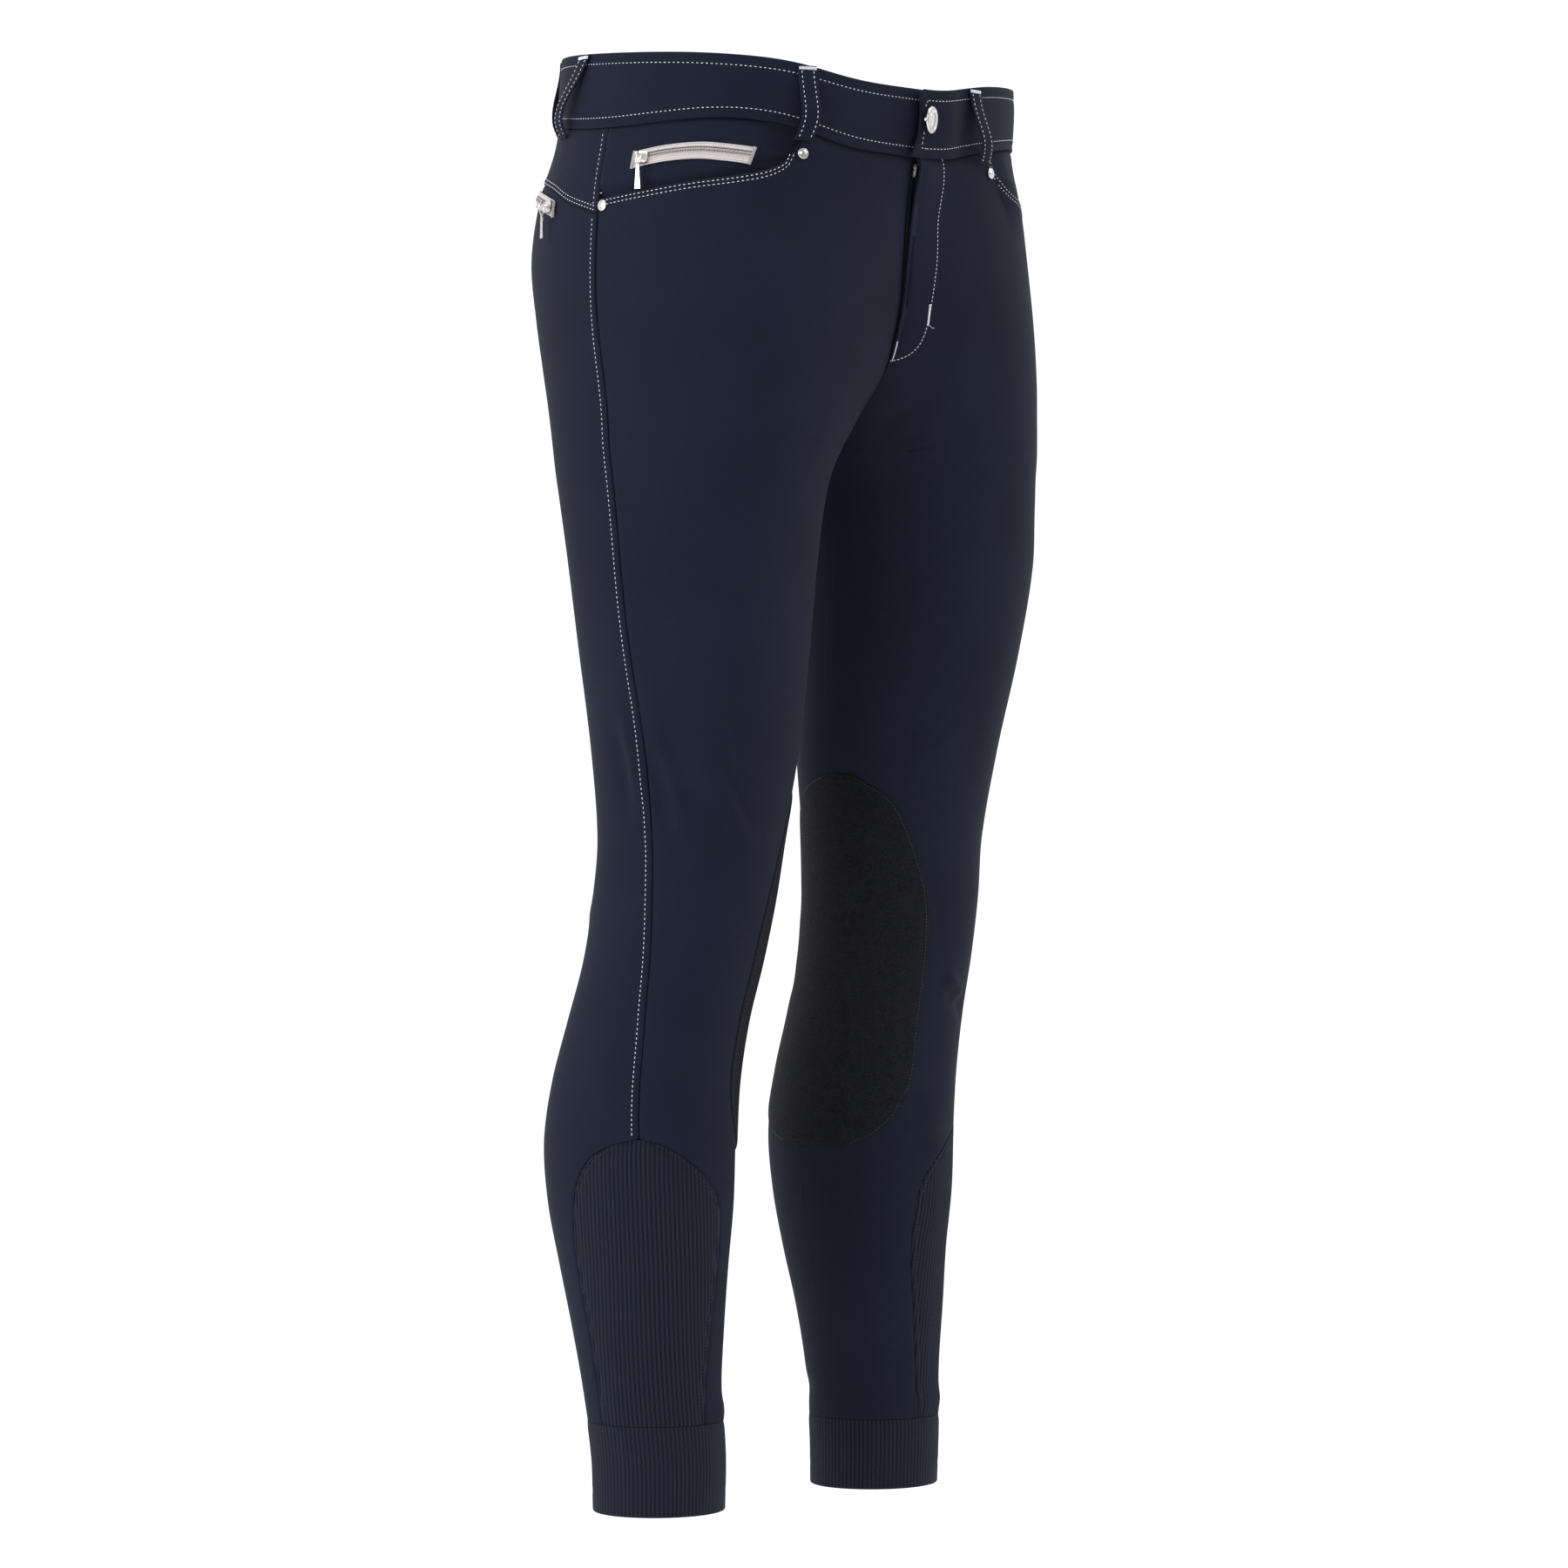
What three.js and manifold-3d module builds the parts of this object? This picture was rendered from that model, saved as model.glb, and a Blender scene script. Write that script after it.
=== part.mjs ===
// Riding breeches as worn, hollow, in millimetres.
// +X is the wearer's left, the front faces -Y, +Z is up.
// The origin is the middle of the waist opening.
import * as THREE from "three";
import { mergeVertices } from "three/addons/utils/BufferGeometryUtils.js";
import Module from "manifold-3d";

const wasm = await Module();
wasm.setup();

const LEFT = 1;
const RIGHT = -1;

// Driving sizes
const CLOTH = 1.6;
const SEAM = 0.3;
const LAY = 0.35;
const BAND_HEIGHT = 44;
const BAND_CLOTH = 2.4;
const BAND_LIFT = 0.8;
const WAIST_TILT = 0.081;
const FRONT_DIP = 9.6;
const FRONT_DIP_SHAPE = { [RIGHT]: { width: 87, power: 4.4 }, [LEFT]: { width: 52, power: 2 } };
const HIP_RISE = { height: 1.9, around: 1.62, width: 0.3 };
const SEAM_RISE = { height: 4.1, around: 1.52, width: 0.27 };
const SEAM_DIP = { height: -4.6, around: 2.06, width: 0.36 };
const BAND_READ_HEIGHT = -20;
const CROTCH = -250;
const HEM = -945;
const CUFF_TOP = { [RIGHT]: -886, [LEFT]: -898 };
const SEAM_AROUND = 0.0015;
const INSERT_TOP = -699;
const OVERLAP = 10;
const UNDERLAP = 16;

// Turns rows of numbers into rows with named columns.
function table(columns, rows) {
  const names = columns.split(" ");
  return rows.map((row) => Object.fromEntries(names.map((name, i) => [name, row[i]])));
}

// One half seen from above, at each height: how far the cloth reaches outward, inward, forward and
// back, and where along X the front-most and back-most points and along Y the outermost point lie.
// A negative inner reach belongs to the trunk, where the halves meet in the middle plane.
const SECTIONS = table("height outer inner front back frontX backX sideY", [
  [35, 165, -165, -124, 126, 20, 20, 0],
  [-15, 165, -165, -122, 129, 20, 20, 0],
  [-50, 167, -150, -119, 133, 20, 25, 0],
  [-85, 174, -120, -116, 137, 45, 50, 0],
  [-125, 178, -96, -115, 136, 62, 68, 0],
  [-165, 180, -76, -115, 122, 75, 80, 0],
  [-200, 182, -46, -113, 107, 84, 88, 0],
  [-225, 183, -22, -110, 97, 90, 92, 0],
  [-250, 184, 0, -107, 88, 95, 96, 0],
  [-265, 184, 11, -104, 85, 97, 97, -2],
  [-285, 184, 19, -101, 80, 99, 99, -6],
  [-325, 183, 25, -96, 71, 102, 102, -12],
  [-385, 174, 25, -86, 65, 101, 101, -10],
  [-445, 162, 27, -75, 63, 96, 96, -6],
  [-505, 155, 34, -63, 60, 95, 95, -2],
  [-545, 156, 39, -58, 63, 97, 97, 2],
  [-585, 157, 43, -50, 70, 100, 100, 9],
  [-625, 159, 46, -40, 83, 103, 103, 21],
  [-665, 162, 46, -33, 96, 104, 104, 32],
  [-705, 163, 45, -30, 104, 104, 104, 37],
  [-745, 161, 47, -29, 101, 104, 104, 36],
  [-785, 156, 51, -25, 92, 104, 104, 33],
  [-825, 153, 55, -22, 80, 104, 104, 29],
  [-865, 149, 58, -20, 71, 103, 103, 26],
  [-910, 146, 57, -21, 64, 101, 101, 22],
  [-945, 145, 57, -20, 63, 101, 101, 22],
]);

// Places around one half run from 0 at the centre front or inseam through 1 at the front-most,
// 2 at the outermost and 3 at the back-most point to 4 at the centre back or inseam.
const SIDE_SEAM = table("height around", [
  [0, 2], [-110, 2], [-165, 1.985], [-245, 1.9], [-355, 1.885],
  [-470, 1.8], [-525, 1.745], [-585, 1.67], [-645, 1.575], [-699, 1.53],
]);

// The elastic calf insert opens from a round top between these two borders.
const INSERT_BORDERS = table("height front back", [
  [-699, 1.53, 1.53], [-703, 1.37, 1.71], [-711, 1.22, 1.86],
  [-722, 1.07, 1.95], [-734, 0.94, 2.01], [-748, 0.87, 2.045], [-770, 0.845, 2.09],
  [-797, 0.85, 2.09], [-825, 0.89, 2.055], [-855, 0.93, 2.04], [-900, 0.98, 2.035],
]);

// The grip patch lies across the inseam: minus is towards the back, plus towards the front.
const PATCH_BORDERS = table("height back front", [
  [-463, 0, 0.2], [-471, -0.22, 0.335], [-479, -0.34, 0.46], [-493, -0.46, 0.565],
  [-517, -0.58, 0.675], [-545, -0.66, 0.76], [-575, -0.7, 0.795], [-635, -0.72, 0.805],
  [-660, -0.7, 0.81], [-680, -0.62, 0.76], [-693, -0.52, 0.68], [-704, -0.38, 0.56], [-711, -0.2, 0.42],
  [-714, -0.05, 0.28],
]);

// The slant front pocket's edge, from the waist seam over the hip to the side seam.
const POCKET_EDGE = table("around height", [
  [1.34, -70], [1.39, -78], [1.47, -82], [1.62, -85.5], [1.81, -90.5], [2.02, -95],
]);
const POCKET_START = 1.31;
const POCKET_REACH = { [RIGHT]: 1, [LEFT]: 1.165 };

// The seam between yoke and back, from the side seam to the centre back.
const YOKE_SEAM = table("around height", [
  [2, -104], [2.15, -94], [2.27, -84], [2.45, -76], [2.7, -72], [3, -70], [3.5, -68], [4, -67],
]);

// The folded fly edge: how far it reaches past the middle, and how far it stands off.
const FLY_EDGE = table("height reach lift", [
  [-50, 4, 6.5], [-76, 3.6, 6.5], [-88, 3.6, 5], [-110, 3, 3.6], [-150, 2.8, 3.4], [-175, 4.2, 3.2],
  [-186, 4.4, 2.8], [-195, -0.15, 2.2], [-206, -0.15, 0.6], [-222, -0.15, 0],
]);
const FLY_WIDTH = 28;
const FLY_EASE_AROUND = 0.6;

const ZIP_WIDTH = 11;
const ZIP_CLOTH = 1.1;
const TAPE_TOP = 0.8 + ZIP_CLOTH;
const COIN_ZIP = table("around height", [
  [1.455, -70], [1.54, -68], [1.63, -66.6], [1.73, -67.6], [1.8, -69.4], [1.86, -71.5],
]);
const BACK_ZIP = table("around height", [
  [2.23, -97], [2.33, -91], [2.45, -86], [2.6, -83], [2.84, -81],
]);

const BELT_LOOPS = [
  { name: "front_right", side: RIGHT, top: 1.335, bottom: 1.322, ground: 1.5, bulge: 6.5 },
  { name: "front_left", side: LEFT, top: 1.12, bottom: 1.15, ground: 1.5, bulge: 9 },
  { name: "side_right", side: RIGHT, top: 2.12, bottom: 2.26, ground: 0, bulge: 7 },
  { name: "side_left", side: LEFT, top: 2.12, bottom: 2.26, ground: 0, bulge: 7 },
  { name: "back_right", side: RIGHT, top: 2.55, bottom: 2.58, ground: 0, bulge: 5 },
  { name: "back_left", side: LEFT, top: 2.55, bottom: 2.58, ground: 0, bulge: 5 },
];
const LOOP_WIDTH = 12.5;
const LOOP_CLOTH = 1.4;

const RIVET_RADIUS = 3.75;
const BUTTON_RADIUS = 9;
const BUTTON_SHANK = 3.4;
const BUTTON_SHANK_RADIUS = 2.2;
const BUTTON_X = -4.5;
const BUTTON_HEIGHT = -39;
const BUTTON_CLEAR = 1.15;
const BUTTON_TURN = 0.33;

const FRONT_RIVET = { around: 1.302, height: -67.5, lift: 0.7 };
const SIDE_RIVET = { around: 1.975, height: -99, lift: 0 };
const COIN_SLIDER = { around: 1.824, height: -70.8 };
const BACK_SLIDER = { around: 2.255, height: -95.3 };

const FINISHES = {
  cloth: { color: 0x2a2e3b, roughness: 0.72, metalness: 0 },
  lycra: { color: 0x262a37, roughness: 0.8, metalness: 0 },
  grip: { color: 0x15161a, roughness: 0.6, metalness: 0 },
  tape: { color: 0xc8c0be, roughness: 0.7, metalness: 0 },
  blackTape: { color: 0x121316, roughness: 0.7, metalness: 0 },
  metal: { color: 0xc9c7c3, roughness: 0.25, metalness: 1 },
};

const garment = new THREE.Group();

// Adds one named piece to the garment.
function addPiece(name, geometry, finish) {
  const mesh = new THREE.Mesh(geometry, new THREE.MeshStandardMaterial(FINISHES[finish]));
  mesh.name = name;
  garment.add(mesh);
  return mesh;
}

function sideName(side) {
  return side === RIGHT ? "right" : "left";
}

function clamp01(value) {
  return Math.min(1, Math.max(0, value));
}

function smooth(value) {
  const t = clamp01(value);
  return t * t * (3 - 2 * t);
}

function mix(a, b, t) {
  return a + (b - a) * t;
}

// The index of the row that starts the interval holding a value.
function intervalAt(rows, key, value) {
  const rising = rows[1][key] > rows[0][key];
  let i = 0;
  while (i < rows.length - 2 && (rising ? rows[i + 1][key] < value : rows[i + 1][key] > value)) {
    i += 1;
  }
  return i;
}

// A column read on straight lines between the rows.
function readLine(rows, key, name, value) {
  const i = intervalAt(rows, key, value);
  const t = clamp01((value - rows[i][key]) / (rows[i + 1][key] - rows[i][key]));
  return mix(rows[i][name], rows[i + 1][name], t);
}

// A column read on a smooth curve through the rows.
function readCurve(rows, key, name, value) {
  const i = intervalAt(rows, key, value);
  const slopeAt = (k) => {
    const before = rows[Math.max(k - 1, 0)];
    const after = rows[Math.min(k + 1, rows.length - 1)];
    return (after[name] - before[name]) / (after[key] - before[key]);
  };
  const step = rows[i + 1][key] - rows[i][key];
  const t = clamp01((value - rows[i][key]) / step);
  const bend = smooth(t);
  const start = t * (1 - t) * (1 - t) * step * slopeAt(i);
  const finish = t * t * (t - 1) * step * slopeAt(i + 1);
  return mix(rows[i][name], rows[i + 1][name], bend) + start + finish;
}

// A point of the cloth's outer face, before any lift.
function surfacePoint(side, around, height) {
  const [outer, inner, front, back, frontX, backX, sideY] =
    ["outer", "inner", "front", "back", "frontX", "backX", "sideY"].map((name) =>
      readCurve(SECTIONS, "height", name, height));
  const isTrunk = inner < SEAM / 2;
  if (around < 0) {
    return isTrunk ? surfacePoint(-side, -around, height) : surfacePoint(side, around + 4, height);
  }
  if (around > 4) {
    return isTrunk ? surfacePoint(-side, 8 - around, height) : surfacePoint(side, around - 4, height);
  }
  const isFront = around < 2;
  const middleX = isFront ? frontX : backX;
  const reachY = isFront ? front : back;
  const fromMiddle = isFront ? around - 1 : 3 - around;
  const reachX = fromMiddle > 0 ? outer - middleX : inner - middleX;
  const cut = isTrunk ? Math.asin((middleX - SEAM / 2) / (middleX - inner)) : Math.PI / 2;
  const angle = Math.abs(fromMiddle) * (fromMiddle > 0 ? Math.PI / 2 : cut);
  const x = middleX + reachX * Math.sin(angle);
  const y = sideY + (reachY - sideY) * Math.cos(angle);
  return new THREE.Vector3(side * x, y, height);
}

// The way out of the cloth at a place.
function outward(side, around, height) {
  const step = 0.002;
  const low = Math.max(around - step, around < 0 ? -2 : 0);
  const high = Math.min(around + step, 4);
  const across = surfacePoint(side, high, height).sub(surfacePoint(side, low, height));
  const up = surfacePoint(side, around, height + 1).sub(surfacePoint(side, around, height - 1));
  return across.cross(up).normalize().multiplyScalar(side);
}

// A point that stands off the cloth's outer face, or lies under it where lift is negative.
function liftedPoint(side, around, height, lift) {
  return surfacePoint(side, around, height).addScaledVector(outward(side, around, height), lift);
}

// How much of the around measure a distance along the cloth takes.
function aroundStep(side, around, height, distance) {
  const span = 0.02;
  const reach = surfacePoint(side, around + span, height).distanceTo(surfacePoint(side, around, height));
  return (distance * span) / reach;
}

// The place around at which the front of the trunk has a given distance from the middle plane.
function aroundOf(x, height) {
  const frontX = readCurve(SECTIONS, "height", "frontX", height);
  const inner = readCurve(SECTIONS, "height", "inner", height);
  const cut = Math.asin((frontX - SEAM / 2) / (frontX - inner));
  const angle = Math.asin((frontX - Math.abs(x)) / (frontX - inner));
  return Math.sign(x) * Math.max(0, 1 - angle / cut);
}

function positionGeometry(positions, faces) {
  const geometry = new THREE.BufferGeometry();
  geometry.setAttribute("position", new THREE.Float32BufferAttribute(positions, 3));
  geometry.setIndex(faces);
  return geometry;
}

// A closed wall between an outer and an inner grid of points.
// The spots are rows of { around, height, lift }, and a tube's last column joins its first.
function wall(side, spots, thickness, isTube = false) {
  const rowCount = spots.length;
  const columnCount = spots[0].length;
  const positions = [];
  for (const depth of [0, thickness]) {
    for (const spot of spots.flat()) {
      const point = liftedPoint(side, spot.around, spot.height, spot.lift - depth);
      positions.push(point.x, point.y, point.z);
    }
  }
  const faces = [];
  const quad = (a, b, c, d) => {
    faces.push(...(side > 0 ? [a, b, c, a, c, d] : [a, c, b, a, d, c]));
  };
  const outer = (row, column) => row * columnCount + (column % columnCount);
  const inner = (row, column) => outer(row, column) + rowCount * columnCount;
  const lastRow = rowCount - 1;
  const lastColumn = isTube ? columnCount : columnCount - 1;
  for (let c = 0; c < lastColumn; c += 1) {
    for (let r = 0; r < lastRow; r += 1) {
      quad(outer(r, c), outer(r + 1, c), outer(r + 1, c + 1), outer(r, c + 1));
      quad(inner(r, c), inner(r, c + 1), inner(r + 1, c + 1), inner(r + 1, c));
    }
    quad(outer(0, c), outer(0, c + 1), inner(0, c + 1), inner(0, c));
    quad(outer(lastRow, c), inner(lastRow, c), inner(lastRow, c + 1), outer(lastRow, c + 1));
  }
  if (!isTube) {
    for (let r = 0; r < lastRow; r += 1) {
      quad(outer(r, 0), inner(r, 0), inner(r + 1, 0), outer(r + 1, 0));
      quad(outer(r, lastColumn), outer(r + 1, lastColumn), inner(r + 1, lastColumn), inner(r, lastColumn));
    }
  }
  return positionGeometry(positions, faces);
}

// A soft wave in an edge, highest at its place around.
function wave({ height, around: middle, width }, around) {
  return height * Math.exp(-(((around - middle) / width) ** 2));
}

// The waistband's top edge and the seam under it.
function topEdge(side, around) {
  const point = surfacePoint(side, around, BAND_READ_HEIGHT);
  const { width, power } = FRONT_DIP_SHAPE[point.x < 0 ? RIGHT : LEFT];
  const dip = point.y < 0 ? FRONT_DIP * Math.exp(-(Math.abs(point.x / width) ** power)) : 0;
  return WAIST_TILT * point.y - dip + wave(HIP_RISE, around);
}

function waistSeam(side, around) {
  const waves = wave(SEAM_RISE, around) + wave(SEAM_DIP, around);
  return topEdge(side, around) - BAND_HEIGHT + waves;
}

// A place around on the right pocket, moved to where it lies on either side.
function pocketAround(side, around) {
  return 2 - (2 - around) * POCKET_REACH[side];
}

function pocketEdge(side, around) {
  const onRight = 2 - (2 - around) / POCKET_REACH[side];
  return readLine(POCKET_EDGE, "around", "height", onRight);
}

// The borders of front and back: the side seam, and below it the insert's borders.
function frontBorder(height) {
  return height > INSERT_TOP
    ? readCurve(SIDE_SEAM, "height", "around", height)
    : readLine(INSERT_BORDERS, "height", "front", height);
}

function backBorder(height) {
  return height > INSERT_TOP
    ? readCurve(SIDE_SEAM, "height", "around", height)
    : readLine(INSERT_BORDERS, "height", "back", height);
}

const TRUNK_ROW_SHARES = [0, 0.1, 0.35, 0.65];
const TRUNK_ROWS_END = -175;
const FIXED_ROWS = [
  TRUNK_ROWS_END, -186, -195, -206, -222, -238, -249, -253, -265, -290, -325, -365, -410, -455,
  -505, -545, -585, -625, -665, -683,
];
const CALF_ROWS = INSERT_BORDERS.map((row) => row.height).slice(0, -1);

function panelHeights(side, top) {
  const trunk = TRUNK_ROW_SHARES.map((share) => mix(top, TRUNK_ROWS_END, share));
  return [...trunk, ...FIXED_ROWS, ...CALF_ROWS, CUFF_TOP[side] + SEAM / 2];
}

// The front, from the centre front or inseam to the side seam, with the pocket cut out of its top.
const FRONT_COLUMNS = [0, 0.3, 0.6, 0.85, 1.03, 1.12, 1.22, POCKET_START, 1.34, 1.39, 1.47, 1.62, 1.81, 2];
const GAPE = 1.5;
const GAPE_AROUND = 1.42;
const GAPE_SPREAD = 0.11;
const GAPE_DEPTH = 30;
const EVEN_FROM = -150;
const EVEN_OVER = 150;

function frontPanel(side) {
  const columnCount = FRONT_COLUMNS.length;
  const hipArounds = FRONT_COLUMNS.map((around) => (
    around < 1 ? around : pocketAround(side, around)
  ));
  const tops = hipArounds.map((around, c) => (
    FRONT_COLUMNS[c] > POCKET_START ? pocketEdge(side, around) : waistSeam(side, around) - SEAM / 2
  ));
  const columns = hipArounds.map((hipAround, c) => {
    const evenAround = (2 * c) / (columnCount - 1);
    return panelHeights(side, tops[c]).map((height) => {
      const even = smooth((EVEN_FROM - height) / EVEN_OVER);
      const border = frontBorder(height) - SEAM_AROUND;
      const share = mix(hipAround, evenAround, even) / 2;
      const start = height > CROTCH ? 0 : SEAM_AROUND;
      let around = mix(start, border, share);
      let lift = 0;
      if (side === LEFT && height > FLY_EDGE.at(-1).height) {
        const reach = readLine(FLY_EDGE, "height", "reach", height);
        const flyLift = readLine(FLY_EDGE, "height", "lift", height);
        around += Math.min(0, aroundOf(-reach, height)) * clamp01(1 - around / FLY_EASE_AROUND);
        const fromMiddle = surfacePoint(side, around, height).x;
        lift += flyLift * smooth((FLY_WIDTH - fromMiddle) / FLY_WIDTH);
      }
      const gapePlace = pocketAround(side, GAPE_AROUND);
      const nearEdge = smooth(1 - (tops[c] - height) / GAPE_DEPTH);
      lift += GAPE * nearEdge * Math.exp(-(((around - gapePlace) / GAPE_SPREAD) ** 2));
      return { around, height, lift };
    });
  });
  const spots = columns[0].map((unused, r) => columns.map((column) => column[r]));
  addPiece(`front_${sideName(side)}`, wall(side, spots, CLOTH), "cloth");
}

// The back, from the side seam to the centre back or inseam, below the yoke.
const BACK_COLUMN_COUNT = 12;

function backPanel(side) {
  const columns = Array.from({ length: BACK_COLUMN_COUNT }, (unused, c) => {
    const share = c / (BACK_COLUMN_COUNT - 1);
    const hipAround = mix(2, 4, share);
    const top = readCurve(YOKE_SEAM, "around", "height", hipAround) - SEAM / 2;
    return panelHeights(side, top).map((height) => {
      const finish = height > CROTCH ? 4 : 4 - SEAM_AROUND;
      const around = mix(backBorder(height) + SEAM_AROUND, finish, share);
      return { around, height, lift: 0 };
    });
  });
  const spots = columns[0].map((unused, r) => columns.map((column) => column[r]));
  addPiece(`back_${sideName(side)}`, wall(side, spots, CLOTH), "cloth");
}

function yoke(side) {
  const rowCount = 3;
  const columns = Array.from({ length: BACK_COLUMN_COUNT }, (unused, c) => {
    const share = c / (BACK_COLUMN_COUNT - 1);
    const hipAround = mix(2, 4, share);
    const top = waistSeam(side, hipAround) - SEAM / 2;
    const bottom = readCurve(YOKE_SEAM, "around", "height", hipAround) + SEAM / 2;
    return Array.from({ length: rowCount + 1 }, (unusedRow, r) => {
      const height = mix(top, bottom, r / rowCount);
      return { around: mix(backBorder(height) + SEAM_AROUND, 4, share), height, lift: 0 };
    });
  });
  const spots = columns[0].map((unused, r) => columns.map((column) => column[r]));
  addPiece(`yoke_${sideName(side)}`, wall(side, spots, CLOTH), "cloth");
}

// The hip piece that shows in the pocket opening dips under the front's edge.
const FACING_COLUMNS = [1.22, 1.31, 1.34, 1.39, 1.47, 1.54, 1.62, 1.71, 1.81, 1.9, 2];
const FACING_DIP = 3.8;
const FACING_DIP_ABOVE = 1;
const FACING_DIP_HEIGHT = 8;
const FACING_DIP_START = 1.35;
const FACING_DIP_AROUND = 0.12;
const FACING_TUCK = 20;
const FACING_ROWS_ABOVE_EDGE = [9, 5, 1, -9, -FACING_TUCK];

function facingLift(side, around, height) {
  const aboveEdge = (height - pocketEdge(side, around) - FACING_DIP_ABOVE) / FACING_DIP_HEIGHT;
  const behindStart = (around - pocketAround(side, FACING_DIP_START)) / FACING_DIP_AROUND;
  return -FACING_DIP * smooth(1 - Math.min(aboveEdge, behindStart));
}

function pocketFacing(side) {
  const columns = FACING_COLUMNS.map((hipAround) => {
    const place = pocketAround(side, hipAround);
    const top = waistSeam(side, place) - SEAM / 2;
    const edge = pocketEdge(side, place);
    const lower = FACING_ROWS_ABOVE_EDGE.map((aboveEdge) => edge + aboveEdge);
    return [top, mix(top, lower[0], 0.5), ...lower].map((height) => {
      const around = Math.min(place, frontBorder(height) - SEAM_AROUND);
      return { around, height, lift: facingLift(side, around, height) };
    });
  });
  const spots = columns[0].map((unused, r) => columns.map((column) => column[r]));
  addPiece(`pocket_facing_${sideName(side)}`, wall(side, spots, CLOTH), "cloth");
}

// The waistband's halves: the left end stands off over the right end at the centre front.
const OVERLAP_COLUMNS = [-OVERLAP, -8.5, -4, 3, 10, 17];
const UNDERLAP_COLUMNS = [-UNDERLAP, -8, -0.2];
const BAND_AROUNDS = Array.from({ length: 31 }, (unused, i) => 1 + i / 10);
const BAND_BELLY = 0.6;
const OVERLAP_LIFT = 5.2;
const OVERLAP_EASE = 40;
const OVERLAP_FLAT = 14;
const CORNER_DROPS = [4, 1.2];

function waistbandHalf(side) {
  const endColumns = side === LEFT ? OVERLAP_COLUMNS : UNDERLAP_COLUMNS;
  const ends = endColumns.map((x) => aroundOf(x, BAND_READ_HEIGHT));
  const arounds = [...ends, ...BAND_AROUNDS];
  const columns = arounds.map((around, c) => {
    const drop = side === LEFT ? CORNER_DROPS[c] ?? 0 : 0;
    const top = topEdge(side, around) - drop;
    const bottom = waistSeam(side, around) + SEAM;
    return [0, 0.5, 1].map((share) => {
      const height = mix(top, bottom, share);
      const belly = BAND_BELLY * Math.sin(Math.PI * share);
      const middle = surfacePoint(side, around, height).x;
      const isFront = around < 2;
      const standOff = side === LEFT && isFront
        ? OVERLAP_LIFT * smooth((OVERLAP_EASE - middle) / (OVERLAP_EASE - OVERLAP_FLAT))
        : 0;
      return { around, height, lift: BAND_LIFT + belly + standOff };
    });
  });
  const spots = columns[0].map((unused, r) => columns.map((column) => column[r]));
  addPiece(`waistband_${sideName(side)}`, wall(side, spots, BAND_CLOTH), "cloth");
}

// The elastic cuff, a tube round the ankle.
const CUFF_LOWER_ROWS = [-912, -928, HEM];

function cuff(side) {
  const columnCount = 24;
  const heights = [CUFF_TOP[side] - SEAM / 2, ...CUFF_LOWER_ROWS];
  const spots = heights.map((height) => Array.from({ length: columnCount }, (unused, c) => (
    { around: (4 * c) / columnCount, height, lift: 0 }
  )));
  addPiece(`cuff_${sideName(side)}`, wall(side, spots, CLOTH, true), "lycra");
}

const INSERT_TIP = { height: INSERT_TOP - 0.5, front: 1.515, back: 1.545 };

function calfInsert(side) {
  const columnCount = 10;
  const bottomHeight = CUFF_TOP[side] + SEAM / 2;
  const bottom = {
    height: bottomHeight,
    front: readLine(INSERT_BORDERS, "height", "front", bottomHeight),
    back: readLine(INSERT_BORDERS, "height", "back", bottomHeight),
  };
  const rows = [INSERT_TIP, ...INSERT_BORDERS.slice(1, -1), bottom];
  const spots = rows.map((row) => Array.from({ length: columnCount + 1 }, (unused, c) => ({
    around: mix(row.front + SEAM_AROUND, row.back - SEAM_AROUND, c / columnCount),
    height: row.height,
    lift: 0,
  })));
  addPiece(`calf_insert_${sideName(side)}`, wall(side, spots, CLOTH), "lycra");
}

const PATCH_CLOTH = 1;
const PATCH_LAY = 0.8;

function kneePatch(side) {
  const columnCount = 14;
  const spots = PATCH_BORDERS.map((row) => Array.from({ length: columnCount + 1 }, (unused, c) => ({
    around: mix(row.back, row.front, c / columnCount),
    height: row.height,
    lift: PATCH_LAY + PATCH_CLOTH,
  })));
  addPiece(`knee_patch_${sideName(side)}`, wall(side, spots, PATCH_CLOTH), "grip");
}

// A belt loop bows off the band between its two sewn ends, most in its lower half.
// Its last fifth steps down to the panel.
const LOOP_SHARES = [0, 0.06, 0.2, 0.4, 0.6, 0.8, 0.94, 1];
const LOOP_BELOW_EDGE = 1;
const LOOP_BELOW_SEAM = 7;
const LOOP_FOOT = 0.2;
const LOOP_SAG = 1.7;

function beltLoop({ name, side, top, bottom, ground, bulge }) {
  const spots = LOOP_SHARES.map((share) => {
    const around = mix(top, bottom, share);
    const topHeight = topEdge(side, top) - LOOP_BELOW_EDGE;
    const height = mix(topHeight, waistSeam(side, bottom) - LOOP_BELOW_SEAM, share);
    const halfWidth = aroundStep(side, around, height, LOOP_WIDTH / 2);
    const onFoot = smooth((share - 1 + LOOP_FOOT) / LOOP_FOOT);
    const rest = mix(BAND_LIFT, ground, onFoot) + LAY + LOOP_CLOTH;
    const bow = bulge * Math.sin(Math.PI * share ** LOOP_SAG);
    return [-1, 1].map((edge) => (
      { around: around + edge * halfWidth, height, lift: rest + bow }
    ));
  });
  addPiece(`belt_loop_${name}`, wall(side, spots, LOOP_CLOTH), "cloth");
}

// Stands a piece on the cloth: its X along the cloth's level line, its Z along the way out.
function seat(mesh, side, around, height, lift) {
  const out = outward(side, around, height);
  const level = new THREE.Vector3(-out.y, out.x, 0).normalize();
  const up = new THREE.Vector3().crossVectors(out, level);
  mesh.quaternion.setFromRotationMatrix(new THREE.Matrix4().makeBasis(level, up, out));
  mesh.position.copy(liftedPoint(side, around, height, lift));
}

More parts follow.
